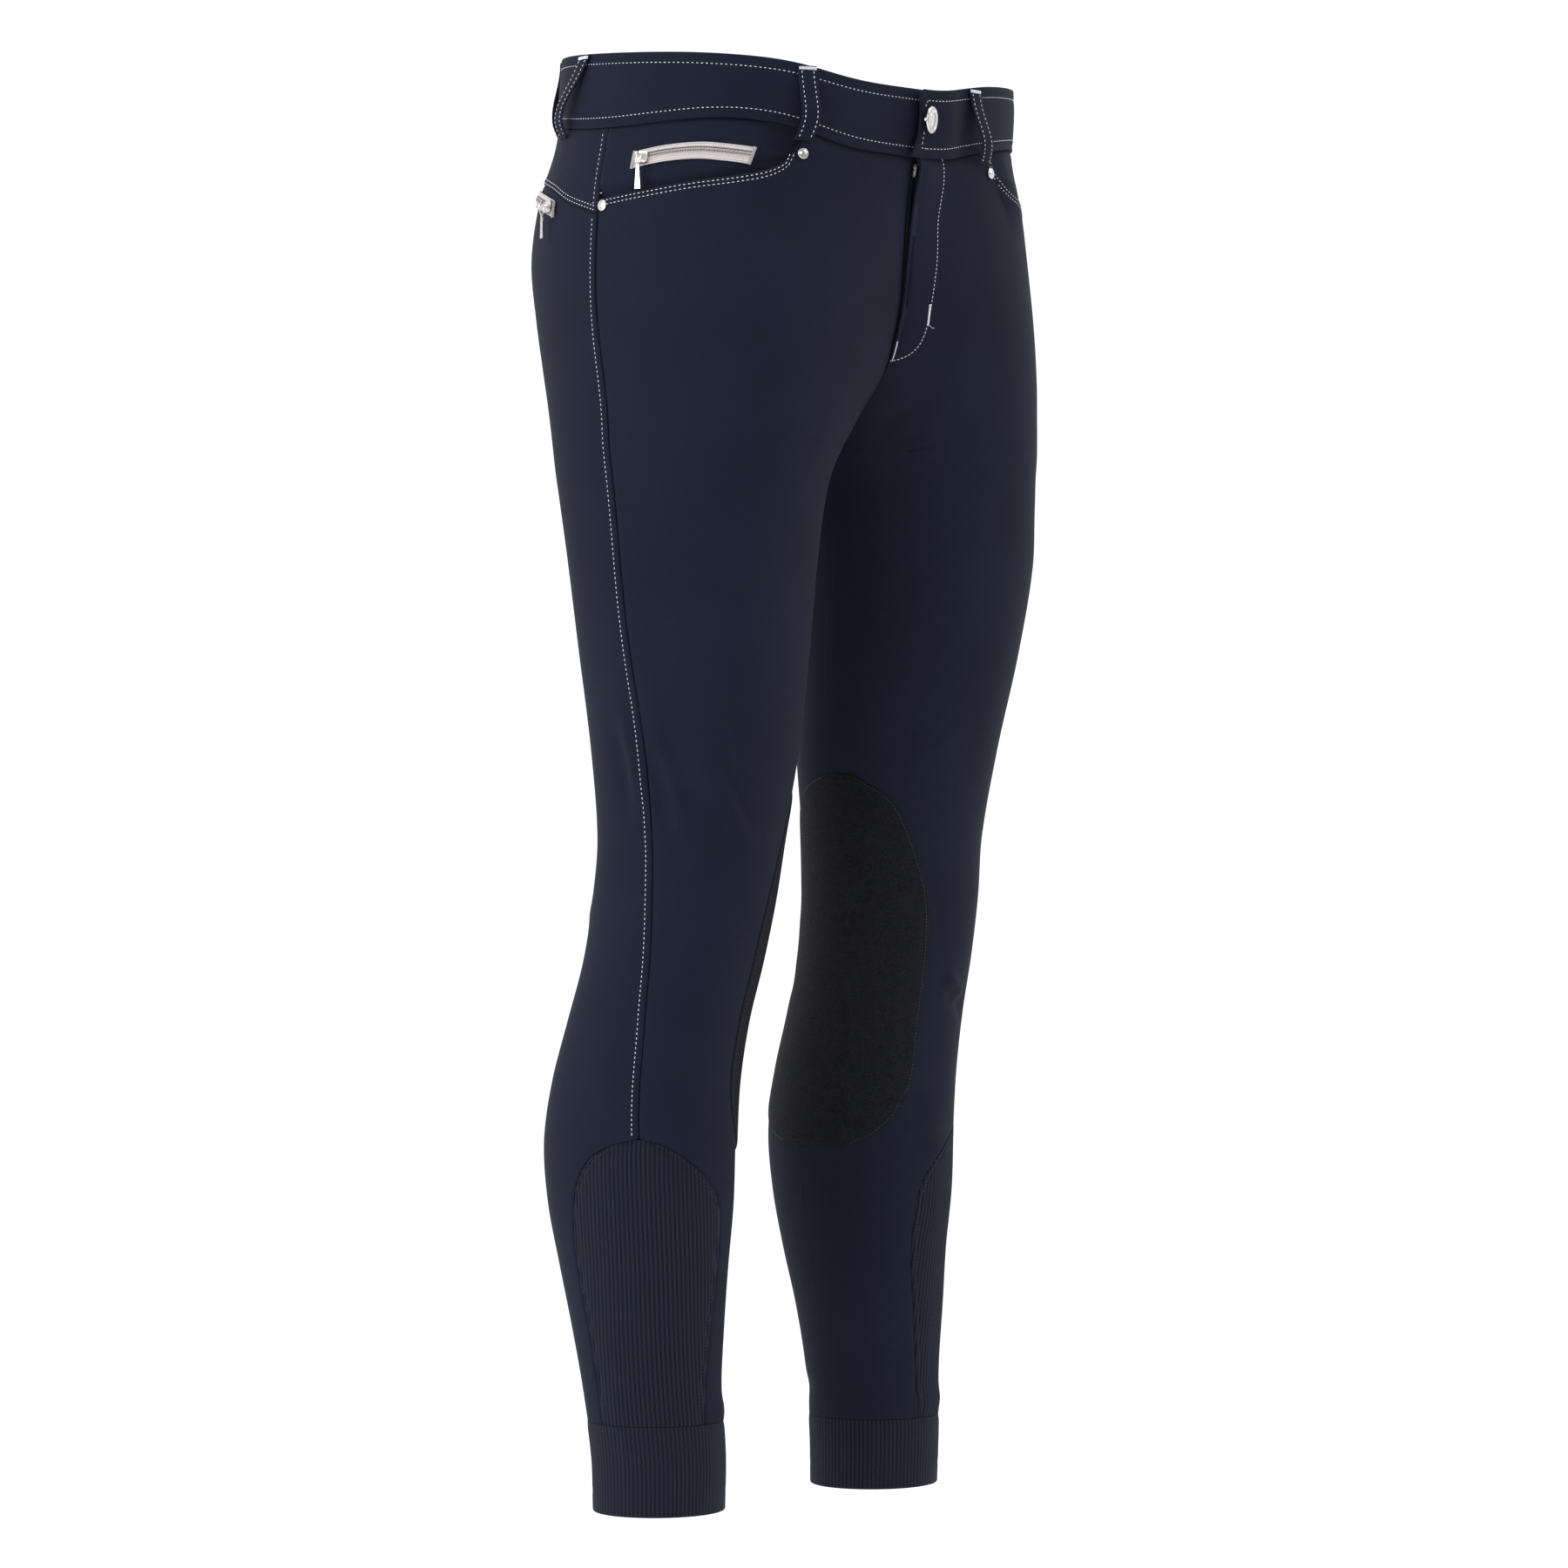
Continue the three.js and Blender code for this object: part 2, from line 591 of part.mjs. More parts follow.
// A turned piece whose axis is Z.
function turned(profile, segments) {
  const points = profile.map(([radius, height]) => new THREE.Vector2(radius, height));
  return new THREE.LatheGeometry(points, segments).rotateX(Math.PI / 2);
}

const RIVET_EDGE = 0.7;
const RIVET_DOME = 1.9;

function rivet(name, side, around, height, lift) {
  const shoulder = [0.72 * RIVET_RADIUS, 0.84 * RIVET_DOME];
  const profile = [[0, 0], [RIVET_RADIUS, 0], [RIVET_RADIUS, RIVET_EDGE], shoulder, [0, RIVET_DOME]];
  const mesh = addPiece(`rivet_${name}_${sideName(side)}`, turned(profile, 16), "metal");
  seat(mesh, side, around, height, lift + LAY);
}

function shankButton() {
  const shank = BUTTON_SHANK;
  const profile = [
    [0, 0], [BUTTON_SHANK_RADIUS, 0], [BUTTON_SHANK_RADIUS, shank], [BUTTON_RADIUS - 0.5, shank],
    [BUTTON_RADIUS, shank + 0.6], [BUTTON_RADIUS - 0.6, shank + 1.6], [5, shank + 2], [0, shank + 2.2],
  ];
  const mesh = addPiece("shank_button", turned(profile, 24), "metal");
  const around = aroundOf(BUTTON_X, BUTTON_HEIGHT);
  seat(mesh, LEFT, around, BUTTON_HEIGHT, BAND_LIFT + OVERLAP_LIFT + BUTTON_CLEAR + LAY);
  mesh.rotateY(BUTTON_TURN);
}

// Zips

function zipTape(name, side, rows) {
  const columnCount = 8;
  const first = rows[0].around;
  const last = rows.at(-1).around;
  const spots = [0.5, -0.5].map((across) => Array.from({ length: columnCount + 1 }, (unused, c) => {
    const around = mix(first, last, c / columnCount);
    const height = readCurve(rows, "around", "height", around) + across * ZIP_WIDTH;
    const place = name === "coin" ? pocketAround(side, around) : around;
    const ground = name === "coin" ? facingLift(side, place, height) : 0;
    return { around: place, height, lift: ground + TAPE_TOP };
  }));
  addPiece(`${name}_zip_tape_${sideName(side)}`, wall(side, spots, ZIP_CLOTH), "tape");
}

function solid(geometry) {
  const bare = geometry.clone();
  bare.deleteAttribute("normal");
  bare.deleteAttribute("uv");
  const merged = mergeVertices(bare, 1e-4);
  return new wasm.Manifold(new wasm.Mesh({
    numProp: 3,
    vertProperties: new Float32Array(merged.attributes.position.array),
    triVerts: new Uint32Array(merged.index.array),
  }));
}

function joined(first, ...others) {
  const body = others.reduce((sum, other) => sum.add(solid(other)), solid(first));
  const { vertProperties, triVerts } = body.getMesh();
  return positionGeometry(vertProperties, Array.from(triVerts));
}

const SLIDER_WIDTH = 8;
const SLIDER_LENGTH = 9.5;
const SLIDER_THICKNESS = 2.2;
const SLIDER_CORNER = 2;
const ARCH_RISE = 3.2;
const ARCH_BAR = 1;
const ARCH_LENGTH = 6.8;
const ARCH_WIDTH = 1;
const ARCH_CORNER = 1.2;
const ARCH_SINK = 1;
const RING_RADIUS = 1.95;
const RING_WIRE = 0.45;
const LINK_STRETCH = 2;
const LINK_DEPTH = 0.88;
const LINK_DROP = 1.75;
const LINK_OUT = 0.2;
const PULL_LENGTH = 15.6;
const PULL_WIDTH = 4.4;
const PULL_NECK = 2.2;
const PULL_THICKNESS = 1.4;
const PULL_CORNER = 1;
const RING_OVERLAP = 0.1;

// An upright plate with rounded ends along X, extruded along Z from zero.
function roundedPlate(length, width, thickness, corner) {
  const shape = new THREE.Shape();
  const x = length / 2;
  const y = width / 2;
  shape.moveTo(-x + corner, -y);
  shape.lineTo(x - corner, -y);
  shape.quadraticCurveTo(x, -y, x, -y + corner);
  shape.lineTo(x, y - corner);
  shape.quadraticCurveTo(x, y, x - corner, y);
  shape.lineTo(-x + corner, y);
  shape.quadraticCurveTo(-x, y, -x, y - corner);
  shape.lineTo(-x, -y + corner);
  shape.quadraticCurveTo(-x, -y, -x + corner, -y);
  return new THREE.ExtrudeGeometry(shape, { depth: thickness, bevelEnabled: false, curveSegments: 3 });
}

// The arch over the slider, a frame in the plane of X and Z that carries the pull's ring.
function archGeometry() {
  const halfLength = ARCH_LENGTH / 2;
  const top = SLIDER_THICKNESS + ARCH_RISE + ARCH_BAR / 2;
  const foot = SLIDER_THICKNESS - ARCH_SINK;
  const shape = new THREE.Shape();
  shape.moveTo(-halfLength, foot);
  shape.lineTo(halfLength, foot);
  shape.lineTo(halfLength, top - ARCH_CORNER);
  shape.lineTo(halfLength - ARCH_CORNER, top);
  shape.lineTo(-halfLength + ARCH_CORNER, top);
  shape.lineTo(-halfLength, top - ARCH_CORNER);
  const hole = new THREE.Path();
  const inset = halfLength - ARCH_BAR;
  const sill = foot + 0.6 * ARCH_SINK;
  hole.moveTo(-inset, sill);
  hole.lineTo(-inset, top - ARCH_BAR);
  hole.lineTo(inset, top - ARCH_BAR);
  hole.lineTo(inset, sill);
  shape.holes.push(hole);
  const arch = new THREE.ExtrudeGeometry(shape, { depth: ARCH_WIDTH, bevelEnabled: false });
  return arch.rotateX(Math.PI / 2).translate(0, ARCH_WIDTH / 2, 0);
}

function sliderGeometry(hasArch) {
  const body = roundedPlate(SLIDER_LENGTH, SLIDER_WIDTH, SLIDER_THICKNESS, SLIDER_CORNER);
  return hasArch ? joined(body, archGeometry()) : body;
}

// The pull hangs from a long link round the arch: the origin is the middle of the arch's bar.
function pullGeometry() {
  const link = new THREE.TorusGeometry(RING_RADIUS, RING_WIRE, 6, 16).rotateY(Math.PI / 2);
  link.scale(1, LINK_STRETCH, LINK_DEPTH).translate(0, -LINK_DROP, LINK_OUT);
  const shape = new THREE.Shape();
  const top = -RING_RADIUS * LINK_STRETCH - LINK_DROP - RING_OVERLAP;
  const bottom = top - PULL_LENGTH;
  shape.moveTo(-PULL_NECK / 2, top);
  shape.lineTo(-PULL_WIDTH / 2, bottom + PULL_CORNER);
  shape.lineTo(-PULL_WIDTH / 2 + PULL_CORNER, bottom);
  shape.lineTo(PULL_WIDTH / 2 - PULL_CORNER, bottom);
  shape.lineTo(PULL_WIDTH / 2, bottom + PULL_CORNER);
  shape.lineTo(PULL_NECK / 2, top);
  const bar = new THREE.ExtrudeGeometry(shape, { depth: PULL_THICKNESS, bevelEnabled: false });
  return joined(link, bar.translate(0, 0, LINK_OUT - PULL_THICKNESS / 2));
}

function sliderWithPull(name, side, around, height, ground) {
  const slider = addPiece(`${name}_zip_slider_${sideName(side)}`, sliderGeometry(true), "metal");
  const rest = ground + TAPE_TOP + LAY;
  seat(slider, side, around, height, rest);
  const pull = addPiece(`${name}_zip_pull_${sideName(side)}`, pullGeometry(), "metal");
  const out = outward(side, around, height);
  const level = new THREE.Vector3(-out.y, out.x, 0).normalize();
  const up = new THREE.Vector3(0, 0, 1);
  const away = new THREE.Vector3().crossVectors(level, up);
  pull.quaternion.setFromRotationMatrix(new THREE.Matrix4().makeBasis(level, up, away));
  pull.position.copy(liftedPoint(side, around, height, rest + SLIDER_THICKNESS + ARCH_RISE));
}

const FLY_TAPE_CLOTH = 0.8;
const FLY_TAPE_TOP = 0.45 + FLY_TAPE_CLOTH;
const FLY_TAPE_HEIGHTS = [-66, -84, -110, -145, -172];
const FLY_TAPE_FROM_MIDDLE = [0.6, 3.3, 6];
const FLY_SLIDER = { fromMiddle: 3.5, height: -72, width: 6.4, thickness: 1.8 };

// The fly zip shows only as a black tape edge and a slider in the gap under the flap.
function flyZip() {
  const spots = FLY_TAPE_HEIGHTS.map((height) => FLY_TAPE_FROM_MIDDLE.map((fromMiddle) => (
    { around: aroundOf(fromMiddle, height), height, lift: FLY_TAPE_TOP }
  )));
  addPiece("fly_zip_tape", wall(RIGHT, spots, FLY_TAPE_CLOTH), "blackTape");
  const { fromMiddle, height, width, thickness } = FLY_SLIDER;
  const body = roundedPlate(SLIDER_LENGTH, width, thickness, SLIDER_CORNER).rotateZ(Math.PI / 2);
  const slider = addPiece("fly_zip_slider", body, "metal");
  seat(slider, RIGHT, aroundOf(fromMiddle, height), height, FLY_TAPE_TOP + LAY);
}

for (const side of [RIGHT, LEFT]) {
  frontPanel(side);
  backPanel(side);
  yoke(side);
  pocketFacing(side);
  waistbandHalf(side);
  cuff(side);
  calfInsert(side);
  kneePatch(side);
  zipTape("back", side, BACK_ZIP);
  sliderWithPull("back", side, BACK_SLIDER.around, BACK_SLIDER.height, 0);
  const rivetAround = pocketAround(side, FRONT_RIVET.around);
  rivet("front", side, rivetAround, FRONT_RIVET.height, FRONT_RIVET.lift);
  rivet("side", side, SIDE_RIVET.around, SIDE_RIVET.height, SIDE_RIVET.lift);
}
zipTape("coin", RIGHT, COIN_ZIP);
const coinAround = pocketAround(RIGHT, COIN_SLIDER.around);
const coinGround = facingLift(RIGHT, coinAround, COIN_SLIDER.height);
sliderWithPull("coin", RIGHT, coinAround, COIN_SLIDER.height, coinGround);
BELT_LOOPS.forEach(beltLoop);
shankButton();
flyZip();

export default garment;
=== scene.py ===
"""Riding breeches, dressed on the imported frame.

Every place on the cloth is given as a side, a place around the half and a height.
Places around run from 0 at the centre front or inseam through 1 at the front-most,
2 at the outermost and 3 at the back-most point to 4 at the centre back or inseam.
Cloth sizes are in millimetres, as a cutter writes them, and meshes are in metres.
"""

import logging
import math
from collections.abc import Callable, Sequence
from dataclasses import dataclass, field
from enum import Enum, IntEnum

import bmesh
import bpy
import numpy as np
from mathutils import Matrix, Vector


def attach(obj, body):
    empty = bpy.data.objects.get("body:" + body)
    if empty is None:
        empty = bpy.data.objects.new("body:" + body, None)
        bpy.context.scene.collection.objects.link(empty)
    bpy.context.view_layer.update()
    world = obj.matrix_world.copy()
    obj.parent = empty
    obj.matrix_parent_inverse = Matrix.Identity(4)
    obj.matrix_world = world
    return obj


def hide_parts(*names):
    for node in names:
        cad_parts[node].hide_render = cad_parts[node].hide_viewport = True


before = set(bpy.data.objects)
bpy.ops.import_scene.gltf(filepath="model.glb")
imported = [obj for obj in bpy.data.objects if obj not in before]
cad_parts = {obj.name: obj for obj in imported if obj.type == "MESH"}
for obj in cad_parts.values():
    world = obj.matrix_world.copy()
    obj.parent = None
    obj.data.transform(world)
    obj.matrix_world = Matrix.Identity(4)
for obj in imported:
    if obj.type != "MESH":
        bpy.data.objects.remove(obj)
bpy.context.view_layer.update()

log = logging.getLogger("breeches")

Values = np.ndarray | float
Triple = tuple[float, float, float]
Lift = Callable[[np.ndarray, np.ndarray], np.ndarray]
Socket = bpy.types.NodeSocket
Piece = bpy.types.Object
Material = bpy.types.Material

MM = 0.001

CLOTH = 1.6
SEAM = 0.3
LAY = 0.35
BAND_HEIGHT = 44.0
BAND_CLOTH = 2.4
BAND_LIFT = 0.8
HEM = -945.0
CROTCH = -250.0
TRUNK_END = -175.0
INSERT_TOP = -699.0
INSERT_TURN = -735.0
SEAM_AROUND = 0.0015
READ_END = 3.9
OVERLAP_LIFT = 5.2
SIDE_ROW = 4.5


class Side(IntEnum):
    """The wearer's right and left half, as the sign of X."""

    RIGHT = -1
    LEFT = 1

    @property
    def word(self) -> str:
        """The side's name in piece names."""
        return self.name.lower()


class Held(Enum):
    """How a cut piece of cloth is held."""

    STRETCHED = "stretched"
    LAID = "laid"
    FOLDED = "folded"


CUFF_TOP = {Side.RIGHT: -886.0, Side.LEFT: -898.0}


def clamp01(value: Values) -> Values:
    """A value held between 0 and 1."""
    return np.clip(value, 0.0, 1.0)


def smooth(value: Values) -> Values:
    """A soft step from 0 to 1 as the value goes from 0 to 1."""
    t = clamp01(value)
    return t * t * (3 - 2 * t)


def mix(a: Values, b: Values, t: Values) -> Values:
    """The value a share t of the way from a to b."""
    return a + (b - a) * t


class Rows:
    """A short table with named columns, read along its first column."""

    def __init__(self, columns: str, rows: Sequence[Sequence[float]]) -> None:
        """Keeps the columns in the rising order of the first one.

        Args:
            columns: The columns' names, parted by spaces.
            rows: One sequence of numbers for each row.
        """
        data = np.array(rows, float)
        if data[0, 0] > data[-1, 0]:
            data = data[::-1]
        self.keys = data[:, 0]
        self.columns = {name: data[:, i] for i, name in enumerate(columns.split())}

    def line(self, name: str, at: Values) -> np.ndarray:
        """A column read on straight lines between the rows."""
        return np.interp(at, self.keys, self.columns[name])

    def curve(self, name: str, at: Values) -> np.ndarray:
        """A column read on a smooth curve through the rows.

        Args:
            name: The column.
            at: Places along the first column.

        Returns:
            The column's values there.
        """
        keys, values = self.keys, self.columns[name]
        last = len(keys) - 1
        before = np.maximum(np.arange(last + 1) - 1, 0)
        after = np.minimum(np.arange(last + 1) + 1, last)
        slopes = (values[after] - values[before]) / (keys[after] - keys[before])
        i = np.clip(np.searchsorted(keys, at, side="right") - 1, 0, last - 1)
        step = keys[i + 1] - keys[i]
        t = clamp01((at - keys[i]) / step)
        start = t * (1 - t) ** 2 * step * slopes[i]
        finish = t * t * (t - 1) * step * slopes[i + 1]
        return mix(values[i], values[i + 1], smooth(t)) + start + finish


SECTIONS = Rows("height outer inner front back front_x back_x side_y", [
    [35, 165, -165, -124, 126, 20, 20, 0],
    [-15, 165, -165, -122, 129, 20, 20, 0],
    [-50, 167, -150, -119, 133, 20, 25, 0],
    [-85, 174, -120, -116, 137, 45, 50, 0],
    [-125, 178, -96, -115, 136, 62, 68, 0],
    [-165, 180, -76, -115, 122, 75, 80, 0],
    [-200, 182, -46, -113, 107, 84, 88, 0],
    [-225, 183, -22, -110, 97, 90, 92, 0],
    [-250, 184, 0, -107, 88, 95, 96, 0],
    [-265, 184, 11, -104, 85, 97, 97, -2],
    [-285, 184, 19, -101, 80, 99, 99, -6],
    [-325, 183, 25, -96, 71, 102, 102, -12],
    [-385, 174, 25, -86, 65, 101, 101, -10],
    [-445, 162, 27, -75, 63, 96, 96, -6],
    [-505, 155, 34, -63, 60, 95, 95, -2],
    [-545, 156, 39, -58, 63, 97, 97, 2],
    [-585, 157, 43, -50, 70, 100, 100, 9],
    [-625, 159, 46, -40, 83, 103, 103, 21],
    [-665, 162, 46, -33, 96, 104, 104, 32],
    [-705, 163, 45, -30, 104, 104, 104, 37],
    [-745, 161, 47, -29, 101, 104, 104, 36],
    [-785, 156, 51, -25, 92, 104, 104, 33],
    [-825, 153, 55, -22, 80, 104, 104, 29],
    [-865, 149, 58, -20, 71, 103, 103, 26],
    [-910, 146, 57, -21, 64, 101, 101, 22],
    [-945, 145, 57, -20, 63, 101, 101, 22],
])

SIDE_SEAM = Rows("height around", [
    [0, 2], [-110, 2], [-165, 1.985], [-245, 1.9], [-355, 1.885],
    [-470, 1.8], [-525, 1.745], [-585, 1.67], [-645, 1.575], [-699, 1.53],
])

INSERT_BORDERS = Rows("height front back", [
    [-699, 1.53, 1.53], [-703, 1.37, 1.71], [-711, 1.22, 1.86],
    [-722, 1.07, 1.95], [-734, 0.94, 2.01], [-748, 0.87, 2.045], [-770, 0.845, 2.09],
    [-797, 0.85, 2.09], [-825, 0.89, 2.055], [-855, 0.93, 2.04], [-900, 0.98, 2.035],
])

PATCH_BORDERS = Rows("height back front", [
    [-463, 0, 0.2], [-471, -0.22, 0.335], [-479, -0.34, 0.46], [-493, -0.46, 0.565],
    [-517, -0.58, 0.675], [-545, -0.66, 0.76], [-575, -0.7, 0.795], [-635, -0.72, 0.805],
    [-660, -0.7, 0.81], [-680, -0.62, 0.76], [-693, -0.52, 0.68], [-704, -0.38, 0.56],
    [-711, -0.2, 0.42], [-714, -0.05, 0.28],
])

POCKET_EDGE = Rows("around height", [
    [1.325, -50], [1.33, -63], [1.345, -72], [1.37, -77], [1.41, -80.2], [1.47, -82.3],
    [1.55, -84], [1.62, -85.5], [1.81, -90.5], [2.02, -95],
])
POCKET_START = 1.325
POCKET_REACH = {Side.RIGHT: 1.0, Side.LEFT: 1.165}

YOKE_SEAM = Rows("around height", [
    [2, -104], [2.15, -94], [2.27, -84], [2.45, -76], [2.7, -72], [3, -70], [3.5, -68], [4, -67],
])

FLY_EDGE = Rows("height reach lift", [
    [-50, 4, 6.5], [-76, 3.6, 6.5], [-88, 3.6, 5], [-110, 3, 3.6], [-150, 2.8, 3.4], [-175, 4.2, 3.2],
    [-186, 4.4, 2.8], [-195, -0.15, 2.2], [-206, -0.15, 0.6], [-222, -0.15, 0],
])
FLY_WIDTH = 28.0

FLY_STITCH = [
    (21, -62), (22, -97), (23, -128.5), (21, -151), (19, -170), (16, -182), (11, -188.5),
    (5, -191.8), (-0.6, -193.2),
]


class Form:
    """The garment's outer face, read from its sections."""

    TRUNK_REACH = SEAM / 2
    STEP = 0.002

    def point(self, side: int, around: np.ndarray, height: np.ndarray) -> np.ndarray:
        """Points of the outer face, before any lift.

        Args:
            side: The sign of X.
            around: Places around the half.
            height: Heights there.

        Returns:
            An array whose last axis holds X, Y and Z in millimetres.
        """
        around, height = np.broadcast_arrays(np.asarray(around, float), np.asarray(height, float))
        names = ("outer", "inner", "front", "back", "front_x", "back_x", "side_y")
        outer, inner, front, back, front_x, back_x, side_y = (
            SECTIONS.curve(name, height) for name in names
        )
        trunk = inner < self.TRUNK_REACH
        under, over = around < 0, around > 4
        sign = np.where(trunk & (under | over), -side, side)
        around = np.where(under, np.where(trunk, -around, around + 4), around)
        around = np.where(over, np.where(trunk, 8 - around, around - 4), around)
        is_front = around < 2
        middle_x = np.where(is_front, front_x, back_x)
        reach_y = np.where(is_front, front, back)
        from_middle = np.where(is_front, around - 1, 3 - around)
        outward = from_middle > 0
        reach_x = np.where(outward, outer - middle_x, inner - middle_x)
        ratio = np.clip((middle_x - self.TRUNK_REACH) / (middle_x - inner), -1, 1)
        cut = np.where(trunk, np.arcsin(ratio), math.pi / 2)
        angle = np.abs(from_middle) * np.where(outward, math.pi / 2, cut)
        x = middle_x + reach_x * np.sin(angle)
        y = side_y + (reach_y - side_y) * np.cos(angle)
        return np.stack([sign * x, y, height], axis=-1)

    def out(self, side: int, around: np.ndarray, height: np.ndarray) -> np.ndarray:
        """The way out of the cloth at places, as unit vectors."""
        around = np.asarray(around, float)
        low = np.maximum(around - self.STEP, np.where(around < 0, -2.0, 0.0))
        high = np.minimum(around + self.STEP, 4.0)
        across = self.point(side, high, height) - self.point(side, low, height)
        up = self.point(side, around, height + 1.0) - self.point(side, around, height - 1.0)
        way = np.cross(across, up) * side
        return way / np.linalg.norm(way, axis=-1, keepdims=True)

    def lifted(
        self, side: int, around: np.ndarray, height: np.ndarray, lift: np.ndarray
    ) -> np.ndarray:
        """Points that stand off the outer face by a lift."""
        lift = np.asarray(lift, float)[..., None]
        return self.point(side, around, height) + self.out(side, around, height) * lift

    def per_around(self, side: int, around: np.ndarray, height: np.ndarray) -> np.ndarray:
        """How many millimetres one unit around is, at places."""
        span = 0.01
        ahead = self.point(side, np.asarray(around) + span, height)
        return np.linalg.norm(ahead - self.point(side, around, height), axis=-1) / span

    def around_of(self, x: Values, height: Values) -> np.ndarray:
        """Where the front of the trunk has a distance from the middle plane."""
        front_x = SECTIONS.curve("front_x", height)
        inner = SECTIONS.curve("inner", height)
        cut = np.arcsin((front_x - self.TRUNK_REACH) / (front_x - inner))
        angle = np.arcsin((front_x - np.abs(x)) / (front_x - inner))
        return np.sign(x) * np.maximum(0, 1 - angle / cut)

    def spread(
        self, side: int, start: np.ndarray, finish: np.ndarray, height: np.ndarray,
        shares: np.ndarray,
    ) -> tuple[np.ndarray, np.ndarray]:
        """Places at even shares of the cloth's length along level rows.

        Args:
            side: The sign of X.
            start: Where each row starts around.
            finish: Where each row ends around.
            height: Each row's height.
            shares: Shares of the length, from 0 to 1.

        Returns:
            Places around, and their distances along the cloth in millimetres.
        """
        fine = np.linspace(0, 1, 161)
        arounds = mix(start[:, None], finish[:, None], fine[None, :])
        points = self.point(side, arounds, np.repeat(height[:, None], len(fine), axis=1))
        steps = np.linalg.norm(np.diff(points, axis=1), axis=-1)
        along = np.concatenate([np.zeros((len(height), 1)), np.cumsum(steps, axis=1)], axis=1)
        places = np.stack([
            np.interp(shares * row[-1], row, around) for row, around in zip(along, arounds)
        ])
        return places, shares[None, :] * along[:, -1:]


FORM = Form()


class PatternLines:
    """The edges and seams that the pieces are cut along."""

    WAIST_TILT = 0.081
    FRONT_DIP = 9.6
    RIGHT_DIP = (87.0, 4.4)
    LEFT_DIP = (52.0, 2.0)
    HIP_RISE = (1.9, 1.62, 0.3)
    SEAM_RISE = (4.1, 1.52, 0.27)
    SEAM_DIP = (-4.6, 2.06, 0.36)
    READ_HEIGHT = -20.0

    def wave(self, shape: Triple, around: np.ndarray) -> np.ndarray:
        """A soft wave in an edge, given by its height, place around and width."""
        height, middle, width = shape
        return height * np.exp(-(((around - middle) / width) ** 2))

    def top_edge(self, side: int, around: np.ndarray) -> np.ndarray:
        """The waistband's top edge."""
        point = FORM.point(side, around, np.full(np.shape(around), self.READ_HEIGHT))
        is_right = point[..., 0] < 0
        width, power = (
            np.where(is_right, right, left) for right, left in zip(self.RIGHT_DIP, self.LEFT_DIP)
        )
        dip = self.FRONT_DIP * np.exp(-(np.abs(point[..., 0] / width) ** power))
        dip = np.where(point[..., 1] < 0, dip, 0)
        return self.WAIST_TILT * point[..., 1] - dip + self.wave(self.HIP_RISE, around)

    def waist_seam(self, side: int, around: np.ndarray) -> np.ndarray:
        """The seam under the waistband."""
        waves = self.wave(self.SEAM_RISE, around) + self.wave(self.SEAM_DIP, around)
        return self.top_edge(side, around) - BAND_HEIGHT + waves

    def on_pocket(self, side: Side, around: Values) -> Values:
        """A place around on the right pocket, moved to where it lies on either side."""
        return 2 - (2 - around) * POCKET_REACH[side]

    def pocket_edge(self, side: Side, around: np.ndarray) -> np.ndarray:
        """The slant pocket's edge on the front."""
        return POCKET_EDGE.curve("height", 2 - (2 - np.asarray(around)) / POCKET_REACH[side])

    def front_border(self, height: np.ndarray) -> np.ndarray:
        """Where the front ends around: the side seam, and lower down the insert."""
        seam = SIDE_SEAM.curve("around", height)
        return np.where(height > INSERT_TOP, seam, INSERT_BORDERS.line("front", height))

    def back_border(self, height: np.ndarray) -> np.ndarray:
        """Where the back starts around."""
        seam = SIDE_SEAM.curve("around", height)
        return np.where(height > INSERT_TOP, seam, INSERT_BORDERS.line("back", height))


LINES = PatternLines()


@dataclass(frozen=True)
class Crease:
    """One soft ridge or trough.

    The path holds places around and heights, and a minus depth makes a trough.
    """

    side: Side
    path: tuple[tuple[float, float], ...]
    width: float
    depth: float

    SAMPLES = 12
    FADE = 0.34
    STRENGTH = 1.5

    def lift(self, points: np.ndarray) -> np.ndarray:
        """How far the crease lifts the cloth at points of the outer face."""
        places = np.array(self.path, float)
        at = np.linspace(0, len(places) - 1, self.SAMPLES)
        known = np.arange(len(places))
        around = np.interp(at, known, places[:, 0])
        height = np.interp(at, known, places[:, 1])
        line = FORM.point(self.side, around, height)
        start, step = line[:-1], np.diff(line, axis=0)
        away = points[..., None, :] - start
        share = clamp01((away * step).sum(-1) / (step * step).sum(-1))
        gap = np.linalg.norm(away - share[..., None] * step, axis=-1)
        nearest = gap.argmin(axis=-1)[..., None]
        near = np.take_along_axis(gap, nearest, -1)[..., 0]
        along = (nearest[..., 0] + np.take_along_axis(share, nearest, -1)[..., 0]) / len(start)
        fade = smooth(along / self.FADE) * smooth((1 - along) / self.FADE)
        return self.STRENGTH * self.depth * fade * np.exp(-((near / self.width) ** 2))


def on_both(path: Sequence[tuple[float, float]], width: float, depth: float) -> list[Crease]:
    """The same crease on both halves, a little weaker and lower on the left."""
    lower = tuple((around, height - 5) for around, height in path)
    return [
        Crease(Side.RIGHT, tuple(path), width, depth),
        Crease(Side.LEFT, lower, width * 1.15, depth * 0.8),
    ]


